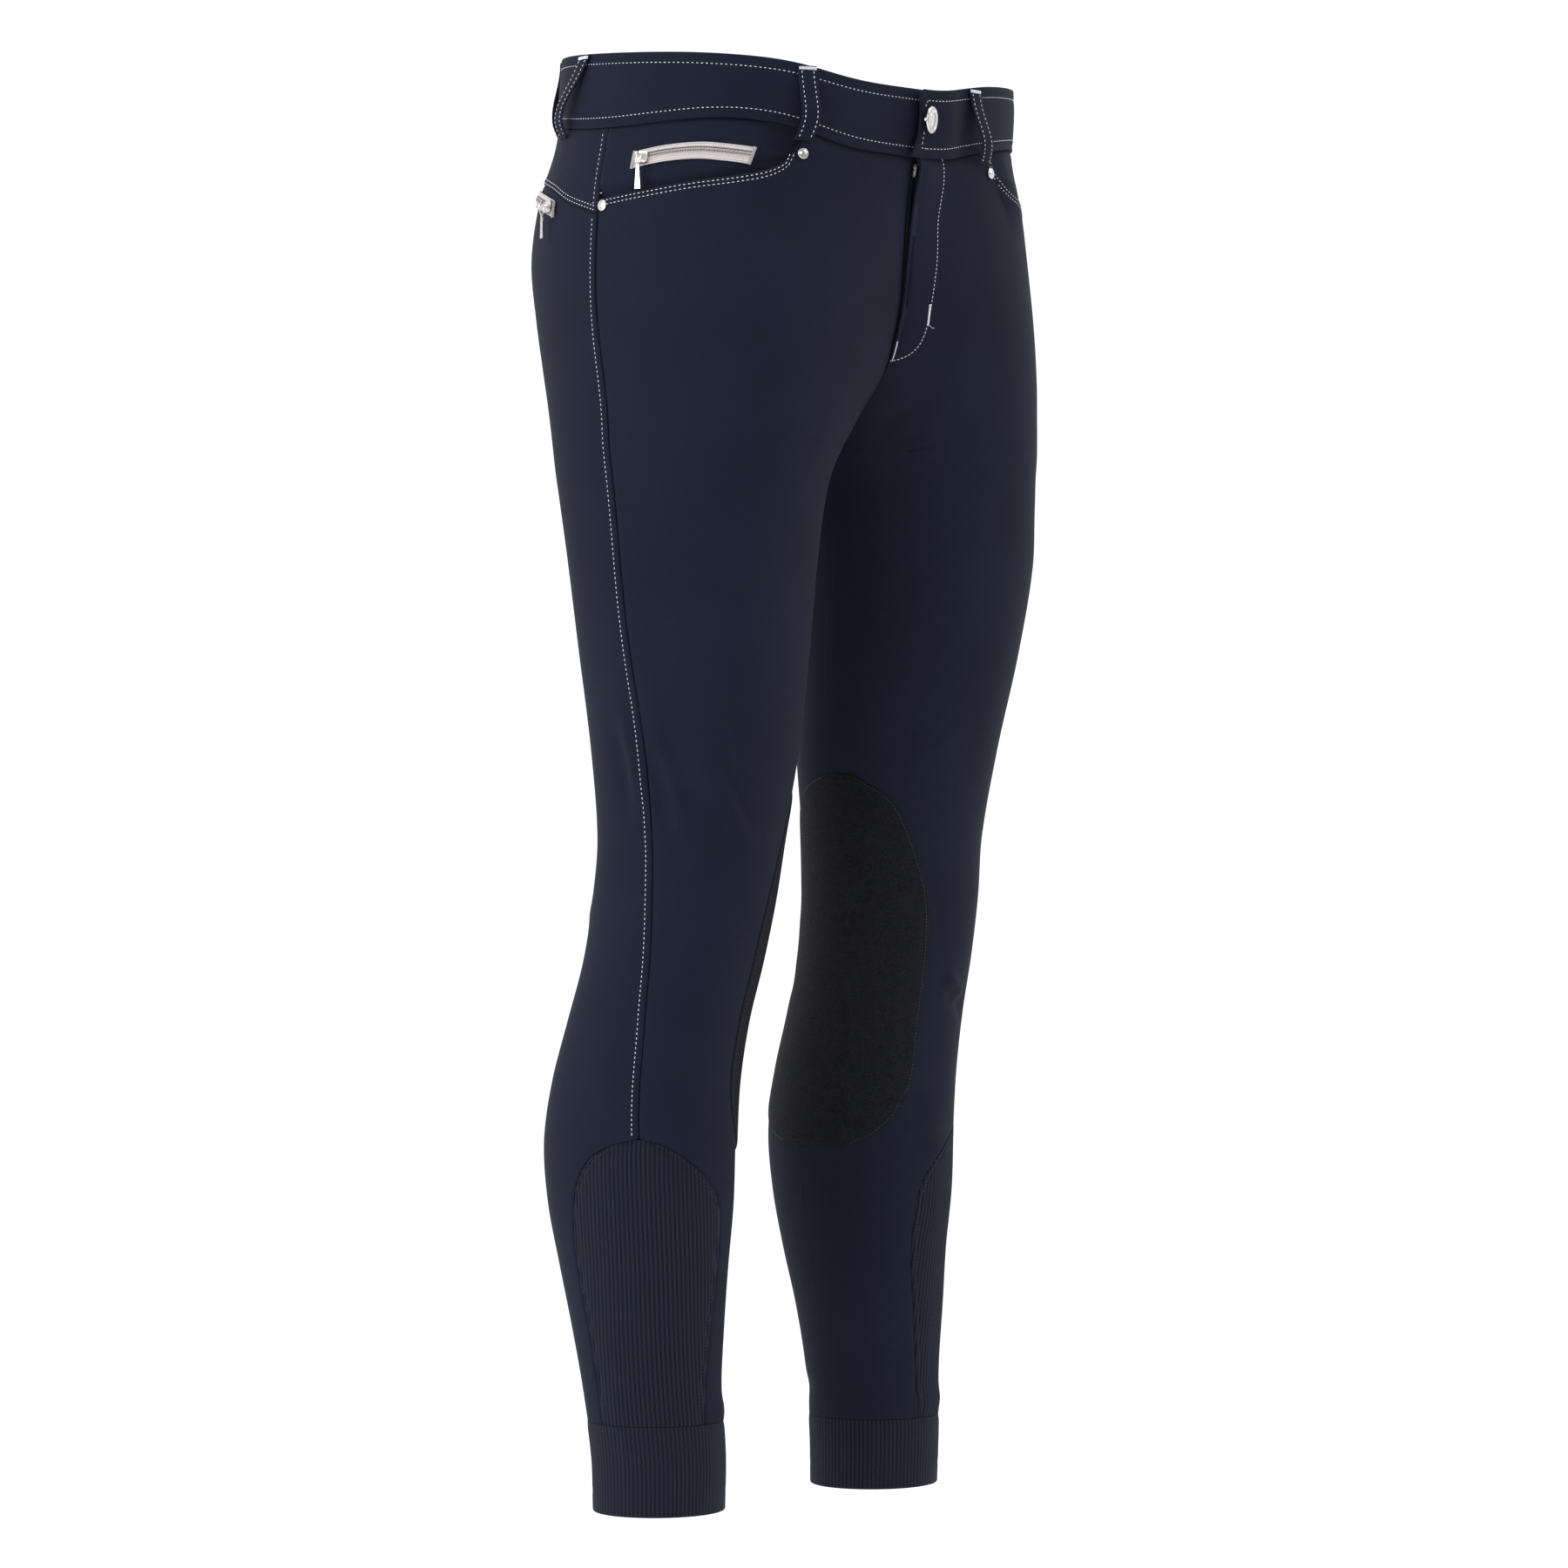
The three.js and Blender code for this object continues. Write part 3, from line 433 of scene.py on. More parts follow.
CREASES = [
    Crease(Side.RIGHT, ((1.8, -400), (1.72, -447), (1.6, -481), (1.56, -505)), 5.5, 2.1),
    Crease(Side.RIGHT, ((1.77, -440), (1.70, -478), (1.66, -505)), 6.5, -2.2),
    Crease(Side.RIGHT, ((1.97, -415), (1.905, -458), (1.88, -490)), 5.5, 1.7),
    Crease(Side.RIGHT, ((2.07, -425), (1.99, -465), (1.96, -500)), 7, -1.8),
    Crease(Side.RIGHT, ((1.57, -440), (1.37, -470), (1.13, -498), (1.0, -518)), 8, 2.0),
    Crease(Side.RIGHT, ((1.34, -420), (1.29, -460), (1.14, -488), (1.02, -510)), 5, -1.4),
    Crease(Side.LEFT, ((0.5, -456), (0.7, -447), (0.88, -436)), 9, 1.1),
    Crease(Side.LEFT, ((1.85, -405), (1.74, -450), (1.62, -490)), 8, 1.4),
    Crease(Side.LEFT, ((0.95, -596), (1.1, -606), (1.27, -617)), 5, 2.2),
    Crease(Side.LEFT, ((0.98, -606), (1.2, -618), (1.43, -626)), 5, -2.2),
    Crease(Side.LEFT, ((0.42, -679), (0.76, -683), (1.02, -691)), 6, -1.7),
    Crease(Side.LEFT, ((0.38, -667), (0.7, -671), (0.86, -675)), 7, 1.2),
    Crease(Side.LEFT, ((0.62, -703), (0.9, -702), (1.2, -703)), 7, 1.2),
    Crease(Side.LEFT, ((0.74, -711), (0.9, -713), (1.05, -714)), 5, -1.2),
    Crease(Side.LEFT, ((0.04, -204), (0.16, -214), (0.3, -221)), 8, 1.3),
    Crease(Side.LEFT, ((0.2, -229), (0.42, -243), (0.66, -254)), 9, 1.5),
    Crease(Side.LEFT, ((0.1, -222), (0.3, -236), (0.5, -248)), 8, -1.3),
    Crease(Side.RIGHT, ((0.04, -206), (0.2, -222), (0.4, -238)), 9, -1.1),
    *on_both(((3.75, -206), (3.3, -222), (2.85, -216)), 12, -2.6),
    *on_both(((3.85, -226), (3.35, -246), (2.8, -240)), 10, 1.6),
    *on_both(((3.9, -178), (3.6, -196), (3.25, -201)), 9, -1.5),
    *on_both(((2.55, -566), (3.0, -574), (3.5, -569)), 7, -2.4),
    *on_both(((2.4, -552), (2.9, -556), (3.3, -553)), 8, 1.5),
    *on_both(((2.7, -593), (3.15, -600), (3.6, -596)), 8, -2.0),
    *on_both(((2.5, -583), (3.0, -586), (3.4, -583)), 7, 1.2),
    *on_both(((2.6, -536), (3.1, -543), (3.6, -541)), 9, -1.3),
    *on_both(((3.1, -870), (3.5, -875), (3.9, -873)), 7, -1.1),
    Crease(Side.LEFT, ((0.3, -884), (1.0, -889), (1.7, -886)), 7, 1.5),
    Crease(Side.RIGHT, ((0.2, -876), (0.6, -880), (0.9, -878)), 7, 0.9),
]


def creased(side: int, points: np.ndarray) -> np.ndarray:
    """How far all creases of one half lift the cloth at points."""
    total = np.zeros(points.shape[:-1])
    for crease in CREASES:
        if crease.side == side:
            total += crease.lift(points)
    return total


class Workbench:
    """Hand tools that every modelled piece goes through."""

    def clear(self) -> None:
        """Leaves edit mode and deselects everything."""
        if bpy.context.object and bpy.context.object.mode != "OBJECT":
            bpy.ops.object.mode_set(mode="OBJECT")
        bpy.ops.object.select_all(action="DESELECT")

    def take(self, name: str) -> Piece:
        """Names the primitive just added and gives it back."""
        piece = bpy.context.object
        piece.name = name
        piece.data.name = name
        return piece

    def activate(self, piece: Piece) -> None:
        """Selects one piece alone."""
        self.clear()
        piece.select_set(True)
        bpy.context.view_layer.objects.active = piece

    def open_bare(self, piece: Piece, mode: str) -> bmesh.types.BMesh:
        """Opens a piece in edit mode with nothing selected."""
        self.activate(piece)
        bpy.ops.object.mode_set(mode="EDIT")
        bpy.ops.mesh.select_mode(type=mode)
        bpy.ops.mesh.select_all(action="DESELECT")
        return bmesh.from_edit_mesh(piece.data)

    def pick_faces(self, piece: Piece, wanted: Callable[[bmesh.types.BMFace], bool]) -> None:
        """Opens a piece in edit mode with only the wanted faces selected."""
        sketch = self.open_bare(piece, "FACE")
        for face in sketch.faces:
            face.select_set(wanted(face))
        sketch.select_flush(True)
        bmesh.update_edit_mesh(piece.data)

    def pick_edges(self, piece: Piece, wanted: Callable[[bmesh.types.BMEdge], bool]) -> None:
        """Opens a piece in edit mode with only the wanted edges selected."""
        sketch = self.open_bare(piece, "EDGE")
        for edge in sketch.edges:
            edge.select_set(wanted(edge))
        bmesh.update_edit_mesh(piece.data)

    def inset(self, thickness: float, rise: float) -> None:
        """Insets the selected faces, and raises or sinks what they leave."""
        bpy.ops.mesh.inset(thickness=thickness)
        bpy.ops.transform.translate(value=(0, 0, rise))

    def block(self, name: str, size: Triple, centre: Triple) -> Piece:
        """A block at its size and place, with its scale applied."""
        self.clear()
        bpy.ops.mesh.primitive_cube_add(size=1, location=centre, scale=size)
        bpy.ops.object.transform_apply(location=True, rotation=True, scale=True)
        return self.take(name)

    def disc(self, name: str, radius: float, segments: int) -> Piece:
        """A filled disc that looks up."""
        self.clear()
        bpy.ops.mesh.primitive_circle_add(vertices=segments, radius=radius, fill_type="NGON")
        return self.take(name)

    def ring(self, name: str, radius: float, wire: float, turn: Triple,
             centre: Triple = (0, 0, 0)) -> Piece:
        """A wire ring, turned and put in place."""
        self.clear()
        bpy.ops.mesh.primitive_torus_add(
            major_radius=radius, minor_radius=wire, major_segments=28, minor_segments=10,
            location=centre, rotation=turn,
        )
        bpy.ops.object.transform_apply(location=True, rotation=True, scale=True)
        return self.take(name)

    def pull_up(self, rise: float, widen: float) -> None:
        """Extrudes the selected faces up, and widens or narrows the new ring."""
        bpy.ops.mesh.extrude_region_move(TRANSFORM_OT_translate={"value": (0, 0, rise)})
        bpy.ops.transform.resize(value=(widen, widen, 1), center_override=(0, 0, 0))

    def turned(self, name: str, profile: Sequence[tuple[float, float]], segments: int) -> Piece:
        """A turned piece, raised step by step from a disc.

        Args:
            name: The piece's name.
            profile: Radii and heights from the foot to the crown.
            segments: The sides of each ring.

        Returns:
            A closed piece whose axis is Z.
        """
        radius, height = profile[0]
        piece = self.disc(name, radius, segments)
        self.pick_faces(piece, lambda face: True)
        bpy.ops.transform.translate(value=(0, 0, height))
        for next_radius, next_height in profile[1:]:
            self.pull_up(next_height - height, next_radius / radius)
            radius, height = next_radius, next_height
        bpy.ops.mesh.select_all(action="SELECT")
        bpy.ops.mesh.normals_make_consistent(inside=False)
        self.clear()
        return piece

    def soften(self, piece: Piece, width: float, segments: int = 2,
               angle: float = 0.6) -> None:
        """Rounds a piece's sharp edges with an applied bevel."""
        bevel = piece.modifiers.new("soft edges", "BEVEL")
        bevel.width = width
        bevel.segments = segments
        bevel.limit_method = "ANGLE"
        bevel.angle_limit = angle
        self.apply_all(piece)

    def apply_all(self, piece: Piece) -> None:
        """Applies every modifier of a piece."""
        self.activate(piece)
        for modifier in list(piece.modifiers):
            bpy.ops.object.modifier_apply(modifier=modifier.name)
        self.clear()

    def join(self, pieces: Sequence[Piece]) -> Piece:
        """Joins pieces into the first one."""
        self.activate(pieces[0])
        for piece in pieces[1:]:
            piece.select_set(True)
        bpy.ops.object.join()
        piece = bpy.context.object
        self.clear()
        return piece

    def shade(self, piece: Piece, angle: float | None = None) -> None:
        """Shades a piece smooth, all over or below an angle."""
        self.activate(piece)
        if angle is None:
            bpy.ops.object.shade_smooth()
        else:
            bpy.ops.object.shade_smooth_by_angle(angle=angle)
        self.clear()


BENCH = Workbench()


class Shader:
    """A material's nodes, added one by one."""

    def __init__(self, name: str) -> None:
        """Starts a material with its principled shader."""
        self.material = bpy.data.materials.new(name)
        self.material.use_nodes = True
        self.tree = self.material.node_tree
        self.surface = self.tree.nodes["Principled BSDF"]

    def set(self, **values: float | tuple[float, ...]) -> None:
        """Sets the surface's own sockets, with _ for each space in their names."""
        for name, value in values.items():
            socket = name.replace("_", " ").title().replace("Ior", "IOR")
            self.surface.inputs[socket].default_value = value

    def add(self, kind: str, **values: object) -> bpy.types.Node:
        """Adds a node and sets its properties."""
        node = self.tree.nodes.new(kind)
        for name, value in values.items():
            setattr(node, name, value)
        return node

    def link(self, source: Socket, target: Socket) -> None:
        """Joins two sockets."""
        self.tree.links.new(source, target)

    def colour(self, source: Socket) -> None:
        """Gives the surface its base colour from a node."""
        self.link(source, self.surface.inputs["Base Color"])

    def place(self, coordinates: str, turn: float = 0.0, offset: float = 0.0) -> Socket:
        """Texture coordinates through a mapping that turns and shifts them."""
        source = self.add("ShaderNodeTexCoord")
        mapping = self.add("ShaderNodeMapping")
        mapping.inputs["Rotation"].default_value = (0, 0, turn)
        mapping.inputs["Location"].default_value = (offset, 0, 0)
        self.link(source.outputs[coordinates], mapping.inputs["Vector"])
        return mapping.outputs["Vector"]

    def noise(self, vector: Socket, scale: float, detail: float = 2.0) -> Socket:
        """A noise value."""
        node = self.add("ShaderNodeTexNoise")
        node.inputs["Scale"].default_value = scale
        node.inputs["Detail"].default_value = detail
        self.link(vector, node.inputs["Vector"])
        return node.outputs["Fac"]

    def wave(self, vector: Socket, pitch: float, distortion: float = 0.0) -> Socket:
        """Even bands across X with a pitch in metres."""
        node = self.add("ShaderNodeTexWave", wave_type="BANDS", bands_direction="X")
        node.inputs["Scale"].default_value = math.tau / (20 * pitch)
        node.inputs["Distortion"].default_value = distortion
        self.link(vector, node.inputs["Vector"])
        return node.outputs["Fac"]

    def blend(self, share: Socket, dark: tuple[float, ...],
              light: tuple[float, ...], low: float = 0.0, high: float = 1.0) -> Socket:
        """A colour between two, as the share goes from low to high."""
        ramp = self.add("ShaderNodeValToRGB")
        ramp.color_ramp.elements[0].position = low
        ramp.color_ramp.elements[0].color = (*dark, 1)
        ramp.color_ramp.elements[1].position = high
        ramp.color_ramp.elements[1].color = (*light, 1)
        self.link(share, ramp.inputs["Fac"])
        return ramp.outputs["Color"]

    def mixed(self, share: Socket, first: Socket | Triple, second: Socket | Triple) -> Socket:
        """Two colours mixed by a share, each a fixed colour or another node's."""
        node = self.add("ShaderNodeMix", data_type="RGBA")
        self.link(share, node.inputs[0])
        for colour, socket in ((first, node.inputs[6]), (second, node.inputs[7])):
            if isinstance(colour, tuple):
                socket.default_value = (*colour, 1)
            else:
                self.link(colour, socket)
        return node.outputs[2]

    def sum(self, *shares: tuple[Socket, float]) -> Socket:
        """A weighted sum of values."""
        total = None
        for socket, weight in shares:
            node = self.add("ShaderNodeMath", operation="MULTIPLY_ADD")
            self.link(socket, node.inputs[0])
            node.inputs[1].default_value = weight
            if total:
                self.link(total, node.inputs[2])
            else:
                node.inputs[2].default_value = 0
            total = node.outputs[0]
        return total

    def relief(self, height: Socket, depth: float, strength: float = 1.0) -> None:
        """Bumps the surface by a height, with a depth in metres."""
        bump = self.add("ShaderNodeBump")
        bump.inputs["Strength"].default_value = strength
        bump.inputs["Distance"].default_value = depth
        self.link(height, bump.inputs["Height"])
        self.link(bump.outputs["Normal"], self.surface.inputs["Normal"])


@dataclass(frozen=True)
class WovenCloth:
    """Smooth stretch twill, with its grain along the leg."""

    name: str = "navy_stretch_twill"
    dark: Triple = (0.0065, 0.0084, 0.0184)
    light: Triple = (0.0088, 0.0111, 0.0235)
    twill_pitch: float = 0.0009
    twill_turn: float = 1.1

    def material(self) -> Material:
        """Builds the cloth: twill lines, fine fuzz and slow shade changes."""
        shader = Shader(self.name)
        shader.set(roughness=0.8, sheen_weight=0.02, sheen_roughness=0.4,
                   sheen_tint=(0.75, 0.8, 1.0, 1), specular_ior_level=0.09)
        grain = shader.place("UV", self.twill_turn)
        plain = shader.place("UV")
        twill = shader.wave(grain, self.twill_pitch, 0.6)
        fuzz = shader.noise(plain, 1600, 3)
        cloudy = shader.noise(shader.place("Object"), 14, 3)
        colour = shader.blend(
            shader.sum((cloudy, 0.75), (twill, 0.12), (fuzz, 0.13)), self.dark, self.light, 0.3, 0.7
        )
        shader.colour(colour)
        shader.relief(shader.sum((twill, 0.5), (fuzz, 0.5)), 0.00009, 0.55)
        return shader.material


@dataclass(frozen=True)
class RibbedKnit:
    """Elastic rib knit of the calf insert and the cuff."""

    name: str = "navy_rib_knit"
    dark: Triple = (0.0082, 0.0103, 0.0216)
    light: Triple = (0.013, 0.0158, 0.031)
    # The near-black furrow colour is painted shade between the ribs.
    furrow: Triple = (0.0016, 0.0022, 0.0052)
    loop_pitch: float = 0.0011
    rib_pitch: float = 0.003

    def material(self) -> Material:
        """Builds the knit: painted shade in the furrows between the ribs, and short loops across them.
        """
        shader = Shader(self.name)
        shader.set(roughness=0.85, sheen_weight=0.04, sheen_roughness=0.5,
                   sheen_tint=(0.8, 0.85, 1.0, 1), specular_ior_level=0.12)
        plain = shader.place("UV")
        loops = shader.wave(shader.place("UV", math.pi / 2), self.loop_pitch, 1.5)
        fuzz = shader.noise(plain, 1300, 3)
        ribs = shader.wave(shader.place("UV", offset=self.rib_pitch / 2), self.rib_pitch)
        yarn = shader.blend(
            shader.sum((fuzz, 0.6), (loops, 0.4)), self.dark, self.light, 0.25, 0.75
        )
        uneven = shader.sum((ribs, 0.85), (fuzz, 0.3))
        # Where on_rib is low, between the ribs, the near-black furrow colour is painted shade.
        on_rib = shader.blend(uneven, (0, 0, 0), (1, 1, 1), 0.1, 0.65)
        shader.colour(shader.mixed(on_rib, self.furrow, yarn))
        shader.relief(shader.sum((loops, 0.6), (fuzz, 0.4)), 0.00012, 0.7)
        return shader.material


@dataclass(frozen=True)
class GripPrint:
    """Matt cloth with a fine crackled grip print."""

    name: str = "black_grip_print"
    ground: Triple = (0.0028, 0.0031, 0.0052)
    print_colour: Triple = (0.0094, 0.0101, 0.0155)
    speck: Triple = (0.075, 0.08, 0.09)
    grain: float = 620.0

    def material(self) -> Material:
        """Builds the print: small raised crumbs between fine cracks, with pale specks."""
        shader = Shader(self.name)
        shader.set(roughness=0.75, specular_ior_level=0.12)
        plain = shader.place("UV")
        cells = shader.add("ShaderNodeTexVoronoi", feature="DISTANCE_TO_EDGE")
        cells.inputs["Scale"].default_value = self.grain
        shader.link(plain, cells.inputs["Vector"])
        crumbs = shader.add("ShaderNodeMapRange")
        crumbs.inputs["From Min"].default_value = 0.02
        crumbs.inputs["From Max"].default_value = 0.22
        shader.link(cells.outputs["Distance"], crumbs.inputs["Value"])
        cloudy = shader.noise(shader.place("Object"), 160, 3)
        base = shader.blend(
            shader.sum((crumbs.outputs["Result"], 0.6), (cloudy, 0.4)),
            self.ground, self.print_colour, 0.25, 0.85,
        )
        specks = shader.noise(shader.place("UV", 0.4), 2100, 1)
        gate = shader.blend(specks, (0, 0, 0), (1, 1, 1), 0.73, 0.8)
        shader.colour(shader.mixed(gate, base, self.speck))
        shader.relief(crumbs.outputs["Result"], 0.00018, 0.9)
        return shader.material


@dataclass(frozen=True)
class Thread:
    """Sewing thread, twisted and a little shiny."""

    name: str
    dark: Triple
    light: Triple

    def material(self) -> Material:
        """Builds the thread: fine twist lines and uneven dye."""
        shader = Shader(self.name)
        shader.set(roughness=0.5, sheen_weight=0.15, specular_ior_level=0.4)
        place = shader.place("Object", 0.8)
        twist = shader.wave(place, 0.00035, 1.0)
        uneven = shader.noise(shader.place("Object"), 900, 2)
        colour = shader.blend(
            shader.sum((twist, 0.4), (uneven, 0.6)), self.dark, self.light, 0.25, 0.75
        )
        shader.colour(colour)
        shader.relief(twist, 0.00006, 0.6)
        return shader.material


@dataclass(frozen=True)
class WovenTape:
    """Narrow woven zip tape."""

    name: str
    dark: Triple
    light: Triple

    def material(self) -> Material:
        """Builds the tape: small checks of its weave."""
        shader = Shader(self.name)
        shader.set(roughness=0.75, specular_ior_level=0.12)
        along = shader.wave(shader.place("UV"), 0.0007, 0.5)
        across = shader.wave(shader.place("UV", math.pi / 2), 0.0009, 0.5)
        uneven = shader.noise(shader.place("Object"), 350, 3)
        weave = shader.sum((along, 0.35), (across, 0.35), (uneven, 0.3))
        colour = shader.blend(weave, self.dark, self.light, 0.2, 0.75)
        shader.colour(colour)
        shader.relief(weave, 0.00015, 0.8)
        return shader.material


@dataclass(frozen=True)
class BrightMetal:
    """Nickel-plated metal with soft handling marks."""

    name: str
    dark: Triple
    light: Triple
    roughness_low: float = 0.12
    roughness_high: float = 0.24

    def material(self) -> Material:
        """Builds the plating: cloudy tone and roughness, and a faint unevenness."""
        shader = Shader(self.name)
        shader.set(metallic=1.0)
        place = shader.place("Object")
        cloudy = shader.noise(place, 420, 3)
        fine = shader.noise(place, 2400, 2)
        colour = shader.blend(cloudy, self.dark, self.light, 0.3, 0.7)
        shader.colour(colour)
        rough = shader.add("ShaderNodeMapRange")
        rough.inputs["To Min"].default_value = self.roughness_low
        rough.inputs["To Max"].default_value = self.roughness_high
        shader.link(cloudy, rough.inputs["Value"])
        shader.link(rough.outputs["Result"], shader.surface.inputs["Roughness"])
        shader.relief(fine, 0.00004, 0.4)
        return shader.material


@dataclass
class Finishes:
    """All finishes of the breeches, each made once."""

    cloth: Material = field(default_factory=lambda: WovenCloth().material())
    knit: Material = field(default_factory=lambda: RibbedKnit().material())
    grip: Material = field(default_factory=lambda: GripPrint().material())
    thread: Material = field(default_factory=lambda: Thread(
        "silver_thread", (0.5, 0.53, 0.58), (0.82, 0.85, 0.9)).material())
    dark_thread: Material = field(default_factory=lambda: Thread(
        "navy_thread", (0.0012, 0.0016, 0.0035), (0.003, 0.004, 0.008)).material())
    # This dark grey thread only draws painted shadow lines along the zip coils.
    painted_shadow_grey: Material = field(default_factory=lambda: Thread(
        "painted_shadow_grey", (0.03, 0.028, 0.03), (0.07, 0.066, 0.07)).material())
    tape: Material = field(default_factory=lambda: WovenTape(
        "silver_tape", (0.36, 0.33, 0.335), (0.68, 0.63, 0.63)).material())
    black_tape: Material = field(default_factory=lambda: WovenTape(
        "black_tape", (0.001, 0.001, 0.0015), (0.003, 0.003, 0.004)).material())
    metal: Material = field(default_factory=lambda: BrightMetal(
        "bright_nickel", (0.48, 0.465, 0.455), (0.76, 0.745, 0.73)).material())
    # A darker copy of the nickel for the fly slider: partly dark metal, partly painted shade for its
    # place under the flap.
    dark_shaded_metal: Material = field(default_factory=lambda: BrightMetal(
        "dark_nickel_painted_shade", (0.16, 0.15, 0.14), (0.36, 0.34, 0.32), 0.2, 0.35).material())

    @property
    def twill_look(self) -> tuple[Material, str]:
        """The finish and slot of the pieces cut from the main cloth."""
        return self.cloth, "breeches_cloth"

    @property
    def rib_look(self) -> tuple[Material, str]:
        """The finish and slot of the elastic pieces."""
        return self.knit, "ribbed_elastic"


@dataclass(frozen=True)
class Cut:
    """The flat cut of a sheet: its rectangle in metres, its area and how it is held."""

    flat: tuple[float, float]
    held: Held
    area: float | None = None
    rests_on: tuple[str, ...] = ()


def finish_piece(
    piece: Piece, material: Material,
    nodes: Sequence[str] = (), body: str = "root",
) -> Piece:
    """Gives a piece its finish and body, and hides the CAD nodes that it stands for.

    Args:
        piece: The finished piece.
        material: Its finish.
        nodes: The CAD nodes that it stands for.
        body: The body that it rides on.

    Returns:
        The same piece.
    """
    piece.data.materials.clear()
    piece.data.materials.append(material)
    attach(piece, body)
    if nodes:
        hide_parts(*nodes)
    log.info("%s: %d faces", piece.name, len(piece.data.polygons))
    return piece


def sheet_mesh(
    name: str, side: int, points: np.ndarray, along: np.ndarray, thickness: float,
    is_tube: bool = False,
) -> Piece:
    """A wall of cloth under a grid of points of its outer face.

    Args:
        name: The piece's name.
        side: The sign of X, which sets which way the grid faces.
        points: Rows of points in millimetres.
        along: The grain's coordinates at the points, in millimetres.
        thickness: The cloth's thickness in millimetres.
        is_tube: Whether the last column joins the first.

    Returns:
        The wall as an object at the origin.
    """
    rows, columns = points.shape[:2]
    index = np.arange(rows * columns).reshape(rows, columns)
    if is_tube:
        index = np.concatenate([index, index[:, :1]], axis=1)
    corners = [index[:-1, :-1], index[1:, :-1], index[1:, 1:], index[:-1, 1:]]
    if side < 0:
        corners = corners[::-1]
    faces = np.stack(corners, axis=-1).reshape(-1, 4)
    mesh = bpy.data.meshes.new(name)
    mesh.from_pydata((points.reshape(-1, 3) * MM).tolist(), [], faces.tolist())
    grain = mesh.uv_layers.new(name="grain")
    corner_vertices = np.zeros(len(mesh.loops), int)
    mesh.loops.foreach_get("vertex_index", corner_vertices)
    flat = (along.reshape(-1, 2) * MM)[corner_vertices]
    grain.data.foreach_set("uv", flat.astype(np.float32).ravel())
    mesh.update()
    piece = bpy.data.objects.new(name, mesh)
    bpy.context.scene.collection.objects.link(piece)
    wall = piece.modifiers.new("cloth", "SOLIDIFY")
    wall.thickness = thickness * MM
    wall.offset = -1
    BENCH.apply_all(piece)
    BENCH.shade(piece)
    return piece


def cloth_piece(
    node: str, side: int, points: np.ndarray, grain: np.ndarray, thickness: float,
    look: tuple[Material, str], is_tube: bool = False,
) -> None:
    """Makes a cut piece of cloth and gives it the place of the CAD node of its name.

    Args:
        node: The CAD node.
        side: The sign of X.
        points: Rows of points in millimetres.
        grain: The grain's coordinates at the points, in millimetres.
        thickness: The cloth's thickness in millimetres.
        look: Its finish and its slot.
        is_tube: Whether the last column joins the first.
    """
    piece = sheet_mesh(f"{node}_cloth", side, points, grain, thickness, is_tube)
    finish_piece(piece, look[0], [node])


def edge_spaced(count: int, width: float, near: Sequence[float]) -> np.ndarray:
    """Shares across a piece: even inside, with extra ones close to both edges.

    Args:
        count: How many even steps there are.
        width: The piece's usual width in millimetres.
        near: Distances from each edge in millimetres.

    Returns:
        Rising shares from 0 to 1.
    """
    close = np.array(near) / width
    inside = np.linspace(close[-1], 1 - close[-1], count)
    return np.concatenate([close[:-1], inside, 1 - close[-2::-1]])


def round_edge(distance: np.ndarray, radius: float) -> np.ndarray:
    """How far an edge is rounded back at distances from it."""
    inside = np.clip(radius - distance, 0, radius)
    return radius - np.sqrt(radius**2 - inside**2)


def distances(line: np.ndarray) -> np.ndarray:
    """Each point's distance along a line from its start."""
    steps = np.linalg.norm(np.diff(line, axis=0), axis=1)
    return np.concatenate([[0], np.cumsum(steps)])


def read_at(distance: float, along: np.ndarray, rows: np.ndarray) -> np.ndarray:
    """The point or way of a line at a distance along it."""
    return np.array([np.interp(distance, along, column) for column in rows.T])


def as_places(around: Values, height: Values) -> np.ndarray:
    """Rows of around and height."""
    return np.column_stack(np.broadcast_arrays(around, height))


def trunk_shares(count: int) -> np.ndarray:
    """Shares down a panel's trunk, with extra ones close to its top edge."""
    return np.concatenate([[0, 0.006, 0.014, 0.026, 0.045], np.linspace(0.07, 1, count)])


def leg_heights(side: Side) -> np.ndarray:
    """A panel's rows down the leg, closer together round the insert and at the cuff."""
    return np.concatenate([
        np.arange(TRUNK_END - 4, INSERT_TOP + 3, -4.0),
        np.arange(INSERT_TOP + 2, INSERT_TURN, -1.2),
        np.arange(INSERT_TURN - 1, CUFF_TOP[side] + 5, -4.0),
        CUFF_TOP[side] + np.array([3.2, 1.8, 0.8, SEAM / 2]),
    ])


